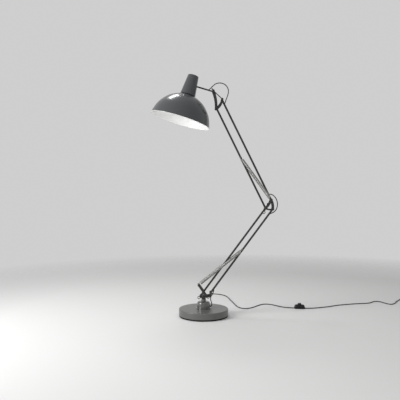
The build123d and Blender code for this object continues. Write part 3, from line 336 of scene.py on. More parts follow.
def make_piece(name, bm, *finish_names, smooth=35, levels=0, turn=True):
    """An object from a bmesh: doubles merged, faces outward, smooth up to an angle."""
    bmesh.ops.remove_doubles(bm, verts=bm.verts, dist=MERGE)
    if turn:
        bmesh.ops.recalc_face_normals(bm, faces=bm.faces)
    mesh = bpy.data.meshes.new(name)
    bm.to_mesh(mesh)
    bm.free()
    for finish_name in finish_names:
        mesh.materials.append(finishes()[finish_name])
    mesh.shade_smooth()
    mesh.set_sharp_from_angle(angle=radians(smooth))
    piece = bpy.data.objects.new(name, mesh)
    bpy.context.scene.collection.objects.link(piece)
    if levels:
        subdivision = piece.modifiers.new("Subdivision", "SUBSURF")
        subdivision.levels = levels
        subdivision.render_levels = levels
    return piece


def spin_profile(bm, profile, centre, axis, out, steps):
    """Turns a closed profile of (radius, height) in millimetres about an axis.

    Returns the new faces.
    """
    before = set(bm.faces)
    verts = [bm.verts.new(centre + out * (r * MM) + axis * (h * MM)) for r, h in profile]
    edges = [bm.edges.new(pair) for pair in zip(verts, verts[1:] + verts[:1])]
    bmesh.ops.spin(
        bm, geom=verts + edges, cent=centre, axis=axis, angle=2 * pi, steps=steps, use_merge=True
    )
    bmesh.ops.remove_doubles(bm, verts=bm.verts, dist=MERGE)
    return [face for face in bm.faces if face not in before]


def turned_piece(
    name, profile, finish_name, smooth, steps, centre=ORIGIN, axis=Z_AXIS, out=X_AXIS
):
    """A piece turned from one closed profile."""
    bm = bmesh.new()
    spin_profile(bm, profile, centre, axis, out, steps)
    return make_piece(name, bm, finish_name, smooth=smooth)


def round_corner(centre, radius, start, end, steps):
    """Points of an arc in a profile, with angles in degrees from the outward direction."""
    turns = [radians(start + (end - start) * i / steps) for i in range(steps + 1)]
    return [(centre[0] + radius * cos(t), centre[1] + radius * sin(t)) for t in turns]


def dress_node(node, body, finish_name, edge=None, segments=2):
    """A copy of a CAD node with softened edges, which replaces it."""
    bm = bmesh.new()
    bm.from_mesh(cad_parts[node].data)
    bmesh.ops.remove_doubles(bm, verts=bm.verts, dist=CAD_MERGE)
    bmesh.ops.dissolve_limit(
        bm, angle_limit=radians(FLAT_UP_TO), verts=bm.verts, edges=bm.edges
    )
    width = bpy.context.scene.lamp_sizes.edge if edge is None else edge
    sharp = [e for e in bm.edges if e.is_manifold and e.calc_face_angle() > radians(SHARP_FROM)]
    bmesh.ops.bevel(
        bm, geom=sharp, offset=width, offset_type="OFFSET", segments=segments, profile=0.5,
        affect="EDGES", clamp_overlap=True, material=-1,
    )
    piece = make_piece(node + "_dressed", bm, finish_name, turn=False)
    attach(piece, body)
    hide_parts(node)


def nurbs_route(name, points):
    """A smooth open route through given control points, in metres."""
    curve = bpy.data.curves.new(name, "CURVE")
    curve.dimensions = "3D"
    curve.resolution_u = 8
    spline = curve.splines.new("NURBS")
    spline.points.add(len(points) - 1)
    for point, place in zip(spline.points, points):
        point.co = (*place, 1)
    spline.order_u = 3
    spline.use_endpoint_u = True
    route = bpy.data.objects.new(name, curve)
    bpy.context.scene.collection.objects.link(route)
    return route


def read_route(route):
    """The places along a route that has no bevel yet."""
    line = bpy.data.meshes.new_from_object(route)
    places = [vert.co.copy() for vert in line.vertices]
    bpy.data.meshes.remove(line)
    return places


def tube_mesh(name, places, diameter, roundness=FLEX_ROUNDNESS):
    """A mesh tube along places read from a route, or wound about an axis."""
    line = bpy.data.curves.new(name, "CURVE")
    line.dimensions = "3D"
    line.bevel_depth = diameter / 2
    line.bevel_resolution = roundness
    line.use_fill_caps = True
    spline = line.splines.new("POLY")
    spline.points.add(len(places) - 1)
    for point, place in zip(spline.points, places):
        point.co = (*place, 1)
    holder = bpy.data.objects.new(name, line)
    bpy.context.scene.collection.objects.link(holder)
    mesh = bpy.data.meshes.new_from_object(holder)
    bpy.data.objects.remove(holder)
    bm = bmesh.new()
    bm.from_mesh(mesh)
    return bm


def sheath(route, diameter, finish_name):
    """Gives a route the round section of a flex."""
    route.data.bevel_depth = diameter / 2
    route.data.bevel_resolution = FLEX_ROUNDNESS
    route.data.use_fill_caps = True
    route.data.materials.append(finishes()[finish_name])


# ---- stage

# Metres, and the strength of the light from all round
FLOOR_X, FLOOR_HALF, FLOOR_DROP = 0.5, 6, 0.0002
FADE_START, FADE_END = 1.7, 3.4
ROOM_LIGHT = 0.33


def area_light(name, place, aim, size, power, mirrored=True):
    """A soft box, which may be kept out of reflections."""
    lamp = bpy.data.lights.new(name, "AREA")
    lamp.shape = "RECTANGLE"
    lamp.size, lamp.size_y = size
    lamp.energy = power
    light = bpy.data.objects.new(name, lamp)
    light.location = place
    light.visible_glossy = mirrored
    light.rotation_euler = (Vector(aim) - Vector(place)).to_track_quat("-Z", "Y").to_euler()
    bpy.context.scene.collection.objects.link(light)


def floor_material(stage):
    """A plain floor that fades into the backdrop away from the lamp."""
    material = bpy.data.materials.new("plain floor")
    material.use_nodes = True
    tree = material.node_tree
    shader = tree.nodes["Principled BSDF"]
    shader.inputs["Base Color"].default_value = (*stage.floor, 1)
    shader.inputs["Roughness"].default_value = 0.6
    shader.inputs["Specular IOR Level"].default_value = 0.25
    place = tree.nodes.new("ShaderNodeTexCoord")
    centre = add_node(tree, "ShaderNodeMapping", Location=(-FLOOR_X, 0.0, 0.0))
    reach = tree.nodes.new("ShaderNodeVectorMath")
    reach.operation = "LENGTH"
    fade = add_node(
        tree, "ShaderNodeMapRange", From_Min=FADE_START, From_Max=FADE_END, To_Min=0.0, To_Max=1.0
    )
    clear = tree.nodes.new("ShaderNodeBsdfTransparent")
    mix = tree.nodes.new("ShaderNodeMixShader")
    wire(
        tree,
        (place, "Object", centre, "Vector"),
        (centre, "Vector", reach, 0),
        (reach, "Value", fade, "Value"),
        (fade, "Result", mix, "Fac"),
        (shader, "BSDF", mix, 1),
        (clear, "BSDF", mix, 2),
        (mix, "Shader", tree.nodes["Material Output"], "Surface"),
    )
    return material


def set_world(stage):
    """Soft light all round, and a plain backdrop for the camera and in reflections."""
    world = bpy.data.worlds.new("studio")
    bpy.context.scene.world = world
    world.use_nodes = True
    tree = world.node_tree
    light = tree.nodes["Background"]
    light.inputs["Color"].default_value = (1, 1, 1, 1)
    light.inputs["Strength"].default_value = ROOM_LIGHT
    seen = add_node(tree, "ShaderNodeBackground", Color=(*stage.backdrop, 1), Strength=1.0)
    ray = tree.nodes.new("ShaderNodeLightPath")
    direct = add_math(tree, "MAXIMUM")
    shown = add_math(tree, "MAXIMUM")
    mix = tree.nodes.new("ShaderNodeMixShader")
    wire(
        tree,
        (ray, "Is Camera Ray", direct, 0),
        (ray, "Is Transmission Ray", direct, 1),
        (direct, 0, shown, 0),
        (ray, "Is Glossy Ray", shown, 1),
        (shown, 0, mix, "Fac"),
        (light, 0, mix, 1),
        (seen, 0, mix, 2),
        (mix, 0, tree.nodes["World Output"], "Surface"),
    )


class LAMP_OT_stage(Operator):
    """Sets the camera, the plain floor and the soft studio light"""

    bl_idname = "lamp.stage"
    bl_label = "Stage"

    def execute(self, context):
        stage = context.scene.lamp_stage
        lens = bpy.data.cameras.new("camera")
        lens.sensor_width = 36
        lens.lens = stage.lens
        camera = bpy.data.objects.new("camera", lens)
        camera.location = stage.eye
        camera.rotation_euler = (radians(90), 0, 0)
        context.scene.collection.objects.link(camera)
        context.scene.camera = camera

        bm = bmesh.new()
        bmesh.ops.create_grid(bm, x_segments=1, y_segments=1, size=FLOOR_HALF)
        bmesh.ops.translate(bm, verts=bm.verts, vec=(FLOOR_X, 0, -FLOOR_DROP))
        mesh = bpy.data.meshes.new("floor")
        bm.to_mesh(mesh)
        bm.free()
        mesh.materials.append(floor_material(stage))
        floor = bpy.data.objects.new("floor", mesh)
        context.scene.collection.objects.link(floor)

        set_world(stage)
        area_light(
            "window", place=(-2.3, -1.1, 1.5), aim=(0, 0, 0.75), size=(1.0, 2.0), power=70
        )
        area_light(
            "top", place=(-0.3, 0.1, 3.5), aim=(0, 0, 0.3), size=(3.0, 3.0), power=42,
            mirrored=False,
        )
        area_light(
            "hair", place=(-0.375, 0.41, 2.29), aim=(-0.18, 0, 1.3), size=(0.40, 0.24), power=6.5
        )
        area_light(
            "low", place=(0.5, -2.8, 0.25), aim=(-0.14, 0, 1.2), size=(1.6, 0.4), power=20,
            mirrored=False,
        )
        context.scene.view_settings.view_transform = "Standard"
        return {"FINISHED"}


# ---- flex

# Places and sizes in millimetres, directions in degrees from the X axis
BASE_R = 150.0
GLAND_Z = 12.0
LYING_Z = 3.0
SWITCH_AT = (626.0, 199.0)
SWITCH_TURN = -8.0
SWITCH_LENGTH, SWITCH_WIDTH = 69.0, 34.0
COIL_START = (1420.7, 515.2)
COIL_HEADING = 54.2
COIL_OUTER_R = 36.3
COIL_PITCH = 6.6
COIL_TURNS = 2.4
COIL_STEPS = 30
CLIMB_TURNS = 0.5
PLUG_GAP, PLUG_NECK, PLUG_Z = 40.0, 22.0, 7.2


def from_switch(distance):
    """A floor point on the foot switch's long axis, from its centre."""
    turn = radians(SWITCH_TURN)
    return (SWITCH_AT[0] + distance * cos(turn), SWITCH_AT[1] + distance * sin(turn))


def on_floor(points):
    """Floor points, in millimetres, as places for the flex's centre line."""
    return [Vector((x, y, LYING_Z)) * MM for x, y in points]


def coil_place(turn):
    """The flex's centre line after a number of turns of the spare coil."""
    centre = (
        COIL_START[0] + COIL_OUTER_R * sin(radians(COIL_HEADING)),
        COIL_START[1] - COIL_OUTER_R * cos(radians(COIL_HEADING)),
    )
    angle = radians(COIL_HEADING + 90 - 360 * turn)
    radius = COIL_OUTER_R - COIL_PITCH * min(turn, COIL_TURNS - turn)
    climbed = min(max((turn - COIL_TURNS / 2) / CLIMB_TURNS + 0.5, 0), 1)
    x, y = centre[0] + radius * cos(angle), centre[1] + radius * sin(angle)
    return Vector((x, y, LYING_Z + COIL_PITCH * climbed)) * MM


def plug_seat():
    """Where the flex enters the plug, and the way it points."""
    last = coil_place(COIL_TURNS)
    way = last - coil_place(COIL_TURNS - 0.01)
    way.z = 0
    way.normalize()
    seat = last + way * (PLUG_GAP * MM)
    seat.z = PLUG_Z * MM
    return seat, way


class LAMP_OT_flex(Operator):
    """Lays the mains flex from the base through the foot switch to the plug"""

    bl_idname = "lamp.flex"
    bl_label = "Mains flex"

    def execute(self, context):
        diameter = context.scene.lamp_sizes.flex
        way_out = [
            Vector((0, BASE_R - 6, GLAND_Z)) * MM,
            Vector((0, BASE_R + 30, GLAND_Z)) * MM,
            Vector((2, BASE_R + 68, GLAND_Z - 5)) * MM,
            Vector((9, BASE_R + 110, LYING_Z)) * MM,
        ]
        to_switch = on_floor([
            (21, 318), (22, 380), (11, 448), (3, 515), (6, 585), (27, 648), (72, 684), (127, 662),
            (165, 612), (182, 540), (190, 462), (203, 385), (213, 305), (224, 240), (246, 192),
            (285, 182), (330, 225), (368, 284), (410, 326), (459, 309), (497, 256), (524, 226),
            from_switch(-SWITCH_LENGTH / 2 - 28), from_switch(-SWITCH_LENGTH / 2),
        ])
        mains = nurbs_route("mains_flex", way_out + to_switch)
        sheath(mains, diameter, "flex")
        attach(mains, "base")
        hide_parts("mains_cord")

        to_coil = on_floor([
            from_switch(SWITCH_LENGTH / 2), from_switch(SWITCH_LENGTH / 2 + 26),
            (727, 200), (774, 218), (832, 243), (893, 284), (963, 309), (1040, 334), (1105, 342),
            (1150, 364), (1180, 410), (1224, 406), (1238, 352), (1262, 304), (1304, 344),
            (1338, 404),
            along(COIL_START, COIL_HEADING + 180, 70), along(COIL_START, COIL_HEADING + 180, 22),
        ])
        turns = [coil_place(COIL_TURNS * i / COIL_STEPS) for i in range(COIL_STEPS + 1)]
        seat, way = plug_seat()
        tail = [seat - way * (PLUG_NECK * MM), seat - way * diameter, seat]
        spare = nurbs_route("switch_flex", to_coil + turns + tail)
        sheath(spare, diameter, "flex")
        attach(spare, "base")
        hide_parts("switch_cord", "cord_coil")
        return {"FINISHED"}


def in_stem(distance):
    """A point along the head's stem from its pivot."""
    return (HEAD_PIVOT[0] - SHADE_OUT.x * distance, HEAD_PIVOT[1] - SHADE_OUT.z * distance)


def cable_part(name, places, diameter):
    """Part of a cable loop as a tube, with its place baked into its mesh."""
    bm = tube_mesh(name, places, diameter)
    piece = make_piece(name, bm, "flex", smooth=60)
    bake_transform(piece)
    return piece


def cable_loop(name, points, diameter):
    """A cable that crosses two joints, split in its middle into two tubes."""
    route = nurbs_route(name + "_route", [spot(point) for point in points])
    places = read_route(route)
    bpy.data.objects.remove(route)
    split = round(len(places) / 2)
    first = cable_part(name + "_lower", places[:split + 1], diameter)
    second = cable_part(name + "_upper", places[split:], diameter)
    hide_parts(name)
    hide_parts(name)


class LAMP_OT_cable_loops(Operator):
    """Hangs the three loops of flex at the stem, the elbow and the head"""

    bl_idname = "lamp.cable_loops"
    bl_label = "Cable loops"

    def execute(self, context):
        diameter = context.scene.lamp_sizes.flex
        cable_loop(
            "base_cable_loop",
            [
                (36.0, 58.0), (47.5, 58.0), (50.5, 68.0), (48.5, 82.0), (42.5, 98.0), (43.5, 115.0),
                (54.0, 132.0), (61.5, 150.0), along(LOWER_RIGHT_FOOT, LOWER_ANGLE, 32),
                along(LOWER_RIGHT_FOOT, LOWER_ANGLE, 46),
            ],
            diameter,
        )
        cable_loop(
            "elbow_cable_loop",
            [
                along(LOWER_RIGHT_FOOT, LOWER_ANGLE, LOWER_LENGTH - 46),
                along(LOWER_RIGHT_FOOT, LOWER_ANGLE, LOWER_LENGTH - 36),
                (423.0, 628.0), (440.0, 642.0), (450.0, 664.0), (451.0, 690.0), (443.0, 715.0),
                (426.0, 735.0), (409.0, 742.0), along(ELBOW_TOP, UPPER_ANGLE, 36),
                along(ELBOW_TOP, UPPER_ANGLE, 46),
            ],
            diameter,
        )
        cable_loop(
            "head_cable_loop",
            [
                along(ELBOW_TOP, UPPER_ANGLE, UPPER_LENGTH - 46),
                along(ELBOW_TOP, UPPER_ANGLE, UPPER_LENGTH - 34),
                (131.5, 1300.0), (139.0, 1322.0), (148.5, 1346.0), (153.5, 1374.0), (143.0, 1400.0),
                (121.0, 1417.0), (93.0, 1421.0), (68.0, 1413.0), (48.0, 1392.0),
                in_stem(31), in_stem(40),
            ],
            diameter,
        )
        lay_finish("flex", "base_inner_cord", "stem_cable", "lower_bar_cable", "upper_bar_cable",
                   "head_inner_cable")
        return {"FINISHED"}


# ---- base

# Radii, and heights above the floor, in millimetres
STEM_HOLE_R = 15.2
# The cover starts higher and the pad is drawn taller than the real one, so that the pad's black
# band is painted shadow under the base's edge
COVER_TOP, COVER_FOOT, COVER_WALL, COVER_ROUND = 46.0, 8.4, 2.2, 4.0
PAD_R, PAD_AND_SHADOW_HEIGHT = 147.6, 8.6
RIBS, RIB_PITCH, RIB_R, RIB_TAPER, RIB_DEPTH = 6, 3.6, 6.4, 0.36, 0.9
RELIEF_BORE_R, RELIEF_LENGTH = 3.05, 26.0


class LAMP_OT_base(Operator):
    """Turns the base cover with its soft edge, and the flex's ribbed strain relief"""

    bl_idname = "lamp.base"
    bl_label = "Round base"

    def execute(self, context):
        inner_r = BASE_R - COVER_WALL
        round_centre = (BASE_R - COVER_ROUND, COVER_TOP - COVER_ROUND)
        outline = [
            (STEM_HOLE_R, COVER_TOP - 2), (STEM_HOLE_R, COVER_TOP),
            (80.0, COVER_TOP), (140.0, COVER_TOP),
            *round_corner(round_centre, COVER_ROUND, 90, 0, 6),
            (BASE_R, 30.0), (BASE_R, COVER_FOOT + 1), (BASE_R - 0.6, COVER_FOOT),
            (BASE_R - 1.8, COVER_FOOT), (inner_r, COVER_FOOT + 1.6), (inner_r, COVER_TOP - 6),
            (BASE_R - 6, COVER_TOP - 2),
        ]
        cover = turned_piece("base_shell", outline, "base", smooth=30, steps=160)
        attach(cover, "base")
        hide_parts("base_cover")

        # A black pad taller than the real one: its band below the cover is painted contact shadow
        outline = [
            (0.0, 0.0), (PAD_R - 0.6, 0.0), (PAD_R, 0.6), (PAD_R, PAD_AND_SHADOW_HEIGHT), (0.0, PAD_AND_SHADOW_HEIGHT),
        ]
        pad = turned_piece("pad_and_painted_shadow", outline, "pad", smooth=30, steps=160)
        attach(pad, "base")
        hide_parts("base_pad")

        ribs = [(7.0, 0.4), (7.2, 2.2)]
        for rib in range(RIBS):
            root = 3.2 + rib * RIB_PITCH
            radius = RIB_R - rib * RIB_TAPER
            ribs += [
                (radius - RIB_DEPTH, root), (radius - RIB_DEPTH, root + 1.2),
                (radius, root + 1.6), (radius, root + 3.1),
            ]
        ribs += [
            (4.3, RELIEF_LENGTH - 0.8), (3.9, RELIEF_LENGTH), (RELIEF_BORE_R, RELIEF_LENGTH),
            (RELIEF_BORE_R, -4.0), (5.2, -4.0), (5.2, 0.4),
        ]
        gland = turned_piece(
            "strain_relief", ribs, "rubber", smooth=30, steps=32,
            centre=Vector((0, BASE_R, GLAND_Z)) * MM, axis=Y_AXIS,
        )
        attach(gland, "base")
        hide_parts("base_cord_gland")
        lay_finish("iron", "base_ballast")
        lay_finish("plastic", "base_bush")
        return {"FINISHED"}


# Heights above the floor, and the radius that clears the pivot, in millimetres
COLLAR_FOOT, COLLAR_TOP = 46.3, 90.0
PIVOT_R = 10.2


class LAMP_OT_collar(Operator):
    """Turns the glossy swivel collar that stands on the base, and finishes the stem"""

    bl_idname = "lamp.collar"
    bl_label = "Swivel collar"

    def execute(self, context):
        foot, top = COLLAR_FOOT, COLLAR_TOP
        flange = [
            (PIVOT_R, foot), (45.2, foot), (46.0, foot + 0.6), (46.0, foot + 2.2),
            (45.2, foot + 2.9), (41.4, foot + 3.4), (40.5, foot + 4.2),
        ]
        bell = [
            (40.4, foot + 8), (40.0, foot + 16), (39.6, top - 16), (39.2, top - 12),
            (38.5, top - 9), (37.0, top - 6.2), (34.7, top - 3.6), (31.5, top - 1.6),
            (28.3, top - 0.5), (26.0, top),
        ]
        inside = [
            (15.2, top), (14.3, top - 0.8), (14.3, top - 6), (27.5, top - 6), (35.0, top - 13),
            (36.0, foot + 4), (PIVOT_R, foot + 4),
        ]
        collar = turned_piece(
            "swivel_collar", flange + bell + inside, "collar", smooth=32, steps=96, out=Y_AXIS
        )
        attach(collar, "swivel")
        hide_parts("collar")
        lay_finish("rubber", "collar_grommet")
        lay_finish("zinc", "pivot_tube", "pivot_washer", "pivot_nut")
        dress_node("stem", "swivel", "stem", edge=0.0008)
        return {"FINISHED"}


# ---- arms and brackets

class LAMP_OT_brackets(Operator):
    """Softens the edges of the pressed brackets, their pins and their spacers"""

    bl_idname = "lamp.brackets"
    bl_label = "Brackets"

    def execute(self, context):
        for node, body in (
            ("base_bracket_plates", "foot_bracket"), ("elbow_plates", "elbow"),
            ("head_plates", "head_bracket"), ("head_tie", "head_bracket"),
        ):
            dress_node(node, body, "arms")
        for node, body in (
            ("base_bracket_pins", "foot_bracket"), ("elbow_pins", "elbow"),
            ("head_pins", "head_bracket"), ("base_bracket_spacers", "foot_bracket"),
            ("elbow_spacers", "elbow"), ("head_spacers", "head_bracket"),
        ):
            dress_node(node, body, "bolts", edge=0.0003)
        return {"FINISHED"}


class LAMP_OT_bars(Operator):
    """Softens the edges of the bars' ends, and finishes the bars"""

    bl_idname = "lamp.bars"
    bl_label = "Bars"

    def execute(self, context):
        for bar in ("lower_right", "lower_left", "upper_right", "upper_left"):
            lay_finish("arms", bar + "_bar")
            dress_node(bar + "_bar_ends", bar, "arms", edge=0.0004)
        return {"FINISHED"}


# ---- springs

# Millimetres, degrees and counts
SPRING_Y = 14.6
HOOK_R, HOOK_STEPS, HOOK_STEP = 4.6, 10, 30
LEAD = 15
CURL_POINTS = 14
# Where a lead's two points lie, as shares of its length, and how near the second is to a curl
NEAR_HOOK, NEAR_CURLS, LEAD_RISE = 0.4, 0.8, 0.9


def spring_places(foot, top, y, sizes):
    """Places along a spring's wire: hook, lead, close curls, lead and hook."""
    foot_at, top_at = spot(foot, y), spot(top, y)
    way = (top_at - foot_at).normalized()
    up = way.cross(Y_AXIS)
    hook, lead = HOOK_R * MM, LEAD * MM
    span = (top_at - foot_at).length - 2 * lead
    hook_turns = [step * radians(HOOK_STEP) for step in range(HOOK_STEPS)]
    places = [foot_at + (up * cos(t) - way * sin(t)) * hook for t in reversed(hook_turns)]
    places.append(foot_at + up * hook + way * (lead * NEAR_HOOK))
    places.append(foot_at + up * (sizes.coil * LEAD_RISE) + way * (lead * NEAR_CURLS))
    total = round(span / sizes.pitch) * CURL_POINTS
    for step in range(total + 1):
        turn = 2 * pi * step / CURL_POINTS
        climbed = way * (lead + span * step / total)
        places.append(foot_at + climbed + (up * cos(turn) + Y_AXIS * sin(turn)) * sizes.coil)
    places.append(top_at + up * (sizes.coil * LEAD_RISE) - way * (lead * NEAR_CURLS))
    places.append(top_at + up * hook - way * (lead * NEAR_HOOK))
    places += [top_at + (up * cos(t) + way * sin(t)) * hook for t in hook_turns]
    return places


class LAMP_OT_springs(Operator):
    """Winds the four close-coiled balance springs and finishes their studs"""

    bl_idname = "lamp.springs"
    bl_label = "Springs"

    def execute(self, context):
        sizes = context.scene.lamp_sizes
        for arm, foot, top in (
            ("lower", SPRING_ANCHOR, LOWER_STUD), ("upper", ELBOW_TOP, UPPER_STUD),
        ):
            for depth, y in (("front", -SPRING_Y), ("rear", SPRING_Y)):
                places = spring_places(foot, top, y, sizes)
                bm = tube_mesh(f"{arm}_{depth}_wire", places, sizes.wire, roundness=1)
                coil = make_piece(f"{arm}_spring_coil_{depth}", bm, "steel", smooth=80)
                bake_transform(coil)
                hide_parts(f"{arm}_spring_{depth}")
            dress_node(f"{arm}_spring_studs", f"{arm}_spring_top", "bolts", edge=0.0003)
        return {"FINISHED"}


# ---- head and shade

# The dome's outside, as (radius, height above the rim) in millimetres
DOME = [
    (184.5, 0.0), (181.6, 12.0), (178.0, 25.0), (170.0, 50.0), (159.0, 73.0), (144.5, 93.0),
    (126.0, 114.0), (109.0, 129.0), (92.5, 139.5), (69.0, 151.5), (45.0, 160.0), (24.0, 163.0),
]
WALL = 1.5
BEAD_CENTRE, BEAD_R = (183.4, 0.9), 2.1
LIP_FACING = -0.3
ABOUT_SHADE = {"centre": spot(RIM_CENTRE), "axis": SHADE_AXIS, "out": SHADE_OUT}


def inset(profile, wall):
    """The profile moved square to itself, towards the inside of the dome."""
    moved = []
    for i, (r, h) in enumerate(profile):
        before = profile[max(i - 1, 0)]
        after = profile[min(i + 1, len(profile) - 1)]
        run, rise = after[0] - before[0], after[1] - before[1]
        size = sqrt(run * run + rise * rise)
        moved.append((r - wall * rise / size, h + wall * run / size))
    return moved


class LAMP_OT_shade(Operator):
    """Spins the domed shade with its rolled rim and white lining"""

    bl_idname = "lamp.shade"
    bl_label = "Shade"

    def execute(self, context):
        outer = DOME[::-1][:-1] + [(184.3, 3.0)]
        bead = round_corner(BEAD_CENTRE, BEAD_R, 62, -200, 9)
        inner = inset(DOME, WALL)[1:]
        bm = bmesh.new()
        faces = spin_profile(bm, outer + bead + inner, steps=96, **ABOUT_SHADE)
        bmesh.ops.recalc_face_normals(bm, faces=bm.faces)
        for face in faces:
            offset = face.calc_center_median() - spot(RIM_CENTRE)
            radial = offset - SHADE_AXIS * offset.dot(SHADE_AXIS)
            inward = face.normal.dot(radial) < 0 or face.normal.dot(SHADE_AXIS) < LIP_FACING
            face.material_index = 1 if inward else 0
        shade = make_piece("shade_dome", bm, "shade", "lining", smooth=50, levels=1)
        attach(shade, "head")
        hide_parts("shade")
        return {"FINISHED"}


# Heights above the shade's rim, and radii, in millimetres
CAP_FOOT, CAP_TOP = 163.5, 285.5
CAP_LIP_R, CAP_BORE_R = 47.4, 37.2


class LAMP_OT_cap(Operator):
    """Turns the tapered lampholder cap above the shade, and finishes the head's stem"""

    bl_idname = "lamp.cap"
    bl_label = "Cap"

    def execute(self, context):
        foot, top = CAP_FOOT, CAP_TOP
        outline = [
            (CAP_BORE_R, foot - 1.4), (39.0, foot - 1.4), (39.0, foot + 1), (46.6, foot - 1),
            (CAP_LIP_R, foot - 0.4), (47.2, foot + 1.2), (40.2, foot + 60), (33.5, top - 6),
            *round_corner((28.6, top - 4.6), 4.6, 5, 90, 6),
            (12.0, top), (0.0, top),
        ]
        inside = [
            (0.0, top - 1.6), (27.0, top - 1.6), (31.2, top - 6.4), (43.2, foot + 4),
            (CAP_BORE_R, foot + 4),
        ]
        cap = turned_piece(
            "lampholder_cap", outline + inside, "shade", smooth=32, steps=96, **ABOUT_SHADE
        )
        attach(cap, "head")
        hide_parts("lamp_cap")
        dress_node("head_stem", "head", "rod", edge=0.0004)
        return {"FINISHED"}


class LAMP_OT_bulb(Operator):
    """Turns the opal bulb and finishes its holder"""

    bl_idname = "lamp.bulb"
    bl_label = "Bulb"

    def execute(self, context):
        globe = [
            (0.0, 42.0), (9.5, 43.6), (18.6, 48.4), (25.6, 56.0), (29.4, 65.0), (30.0, 74.0),
            (27.6, 84.0), (22.6, 93.0), (17.2, 101.0),
        ]
        neck = [(14.2, 108.0), (13.2, 116.0), (13.2, 137.0), (0.0, 138.0)]
        bulb = turned_piece(
            "opal_bulb", globe + neck, "bulb", smooth=50, steps=48, **ABOUT_SHADE
        )
        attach(bulb, "head")
        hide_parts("bulb")
        lay_finish("plastic", "lampholder")
        return {"FINISHED"}


# ---- wing nuts

# Millimetres from the lamp's middle plane, the nut's axis and its seat, and degrees
NUT_SEAT = 23.3
TILT_NUT_ANGLE, ELBOW_NUT_ANGLE = 183, 240
WING_AT, WING_MEAN_R, WING_WIRE_R, WING_LIFT = 27.5, 7.7, 2.0, 4.5
WEB_AT, WEB_SIZE, WEB_EDGE = 13.0, (16, 6.6, 3.6), 1.2


def wing_nut(name, point, angle, body, node):
    """A nut with a coned hub and two ring-shaped wings, on the front of a bracket."""
    front = Vector((0, -1, 0))
    side = Vector((cos(radians(angle)), 0, sin(radians(angle))))
    across = front.cross(side)
    hub_at = spot(point, -NUT_SEAT)
    lift = front * (WING_LIFT * MM)
    bm = bmesh.new()
    hub = [
        (3.1, 0.1), (7.6, 0.1), (8.0, 0.6), (8.0, 1.6), (6.6, 3.0), (5.8, 8.2), (5.2, 8.9),
        (3.1, 8.9),
    ]
    spin_profile(bm, hub, hub_at, front, side, steps=36)
    turn = Matrix((side, across, front)).transposed().to_4x4()
    stretch = Matrix.Diagonal((*(size * MM for size in WEB_SIZE), 1))
    for sign in (1, -1):
        section = round_corner((WING_MEAN_R, 0.0), WING_WIRE_R, 0, 315, 7)
        ring_at = hub_at + side * (sign * WING_AT * MM) + lift
        spin_profile(bm, section, ring_at, front, side, steps=44)
        web_at = Matrix.Translation(hub_at + side * (sign * WEB_AT * MM) + lift)
        web = bmesh.ops.create_cube(bm, size=1, matrix=web_at @ turn @ stretch)
        edges = [e for e in bm.edges if all(v in web["verts"] for v in e.verts)]
        bmesh.ops.bevel(
            bm, geom=edges, offset=WEB_EDGE * MM, offset_type="OFFSET", segments=2, profile=0.5,
            affect="EDGES", material=-1,
        )
    nut = make_piece(name, bm, "bolts", smooth=40)
    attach(nut, body)
    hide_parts(node)


class LAMP_OT_wing_nuts(Operator):
    """Makes the nuts that clamp the tilt, the elbow and the head"""

    bl_idname = "lamp.wing_nuts"
    bl_label = "Wing nuts"

    def execute(self, context):
        wing_nut("tilt_nut", TILT_PIVOT, TILT_NUT_ANGLE, "tilt_knob", "tilt_wing_nut")
        wing_nut("elbow_nut", ELBOW_LEFT, ELBOW_NUT_ANGLE, "elbow_knob", "elbow_wing_nut")
        dress_node("head_wing_nut", "head_knob", "bolts", edge=0.0011, segments=3)
        return {"FINISHED"}


# ---- foot switch and plug

def loop_ring(bm, centre, across, up, half_width, half_height, corner, count):
    """A closed ring of edges with a rounded rectangular outline, in millimetres."""
    corner = min(corner, half_width, half_height)
    facing = across.cross(up)
    ring_frame = Matrix((across, up, facing)).transposed().to_4x4()
    ring = bmesh.ops.create_circle(bm, cap_ends=False, segments=count, radius=1)["verts"]
    for vert in ring:
        x, y = vert.co.x, vert.co.y
        reach = max(abs(x) / half_width, abs(y) / half_height)
        x, y = x / reach, y / reach
        in_x, in_y = half_width - corner, half_height - corner
        over = Vector((max(abs(x) - in_x, 0), max(abs(y) - in_y, 0)))
        if over.x > 0 and over.y > 0:
            over = over.normalized() * corner
            x = (in_x + over.x) * (1 if x > 0 else -1)
            y = (in_y + over.y) * (1 if y > 0 else -1)
        vert.co = ring_frame @ (Vector((x, y, 0)) * MM) + centre
    return [e for e in bm.edges if e.verts[0] in ring and e.verts[1] in ring]


def stack_rings(bm, rings):
    """Joins rings one to the next, and closes both ends."""
    for below, above in zip(rings, rings[1:]):
        bmesh.ops.bridge_loops(bm, edges=below + above)
    bmesh.ops.contextual_create(bm, geom=rings[0])
    bmesh.ops.contextual_create(bm, geom=rings[-1])


SWITCH_POINTS = 64
# The shells' sections as (height, how far inside the outline, corner radius)
TRAY_SECTIONS = [(0.2, 1.4, 10.6), (1.2, 0, 12), (8.0, 0, 12), (8.8, 0.9, 11)]
COVER_SECTIONS = [
    (9.2, 0.9, 11), (10.0, 0.3, 11.7), (16.0, 2.1, 11.4), (21.0, 4.0, 11.6), (24.2, 6.2, 10.8),
    (25.4, 8.4, 8.6),
]
# The round well for the button, as (radius, height)
BUTTON_WELL = [(14.2, 26.2), (13.6, 27.6), (13.0, 28.0), (11.6, 28.0), (11.3, 27.6), (11.3, 14.2)]


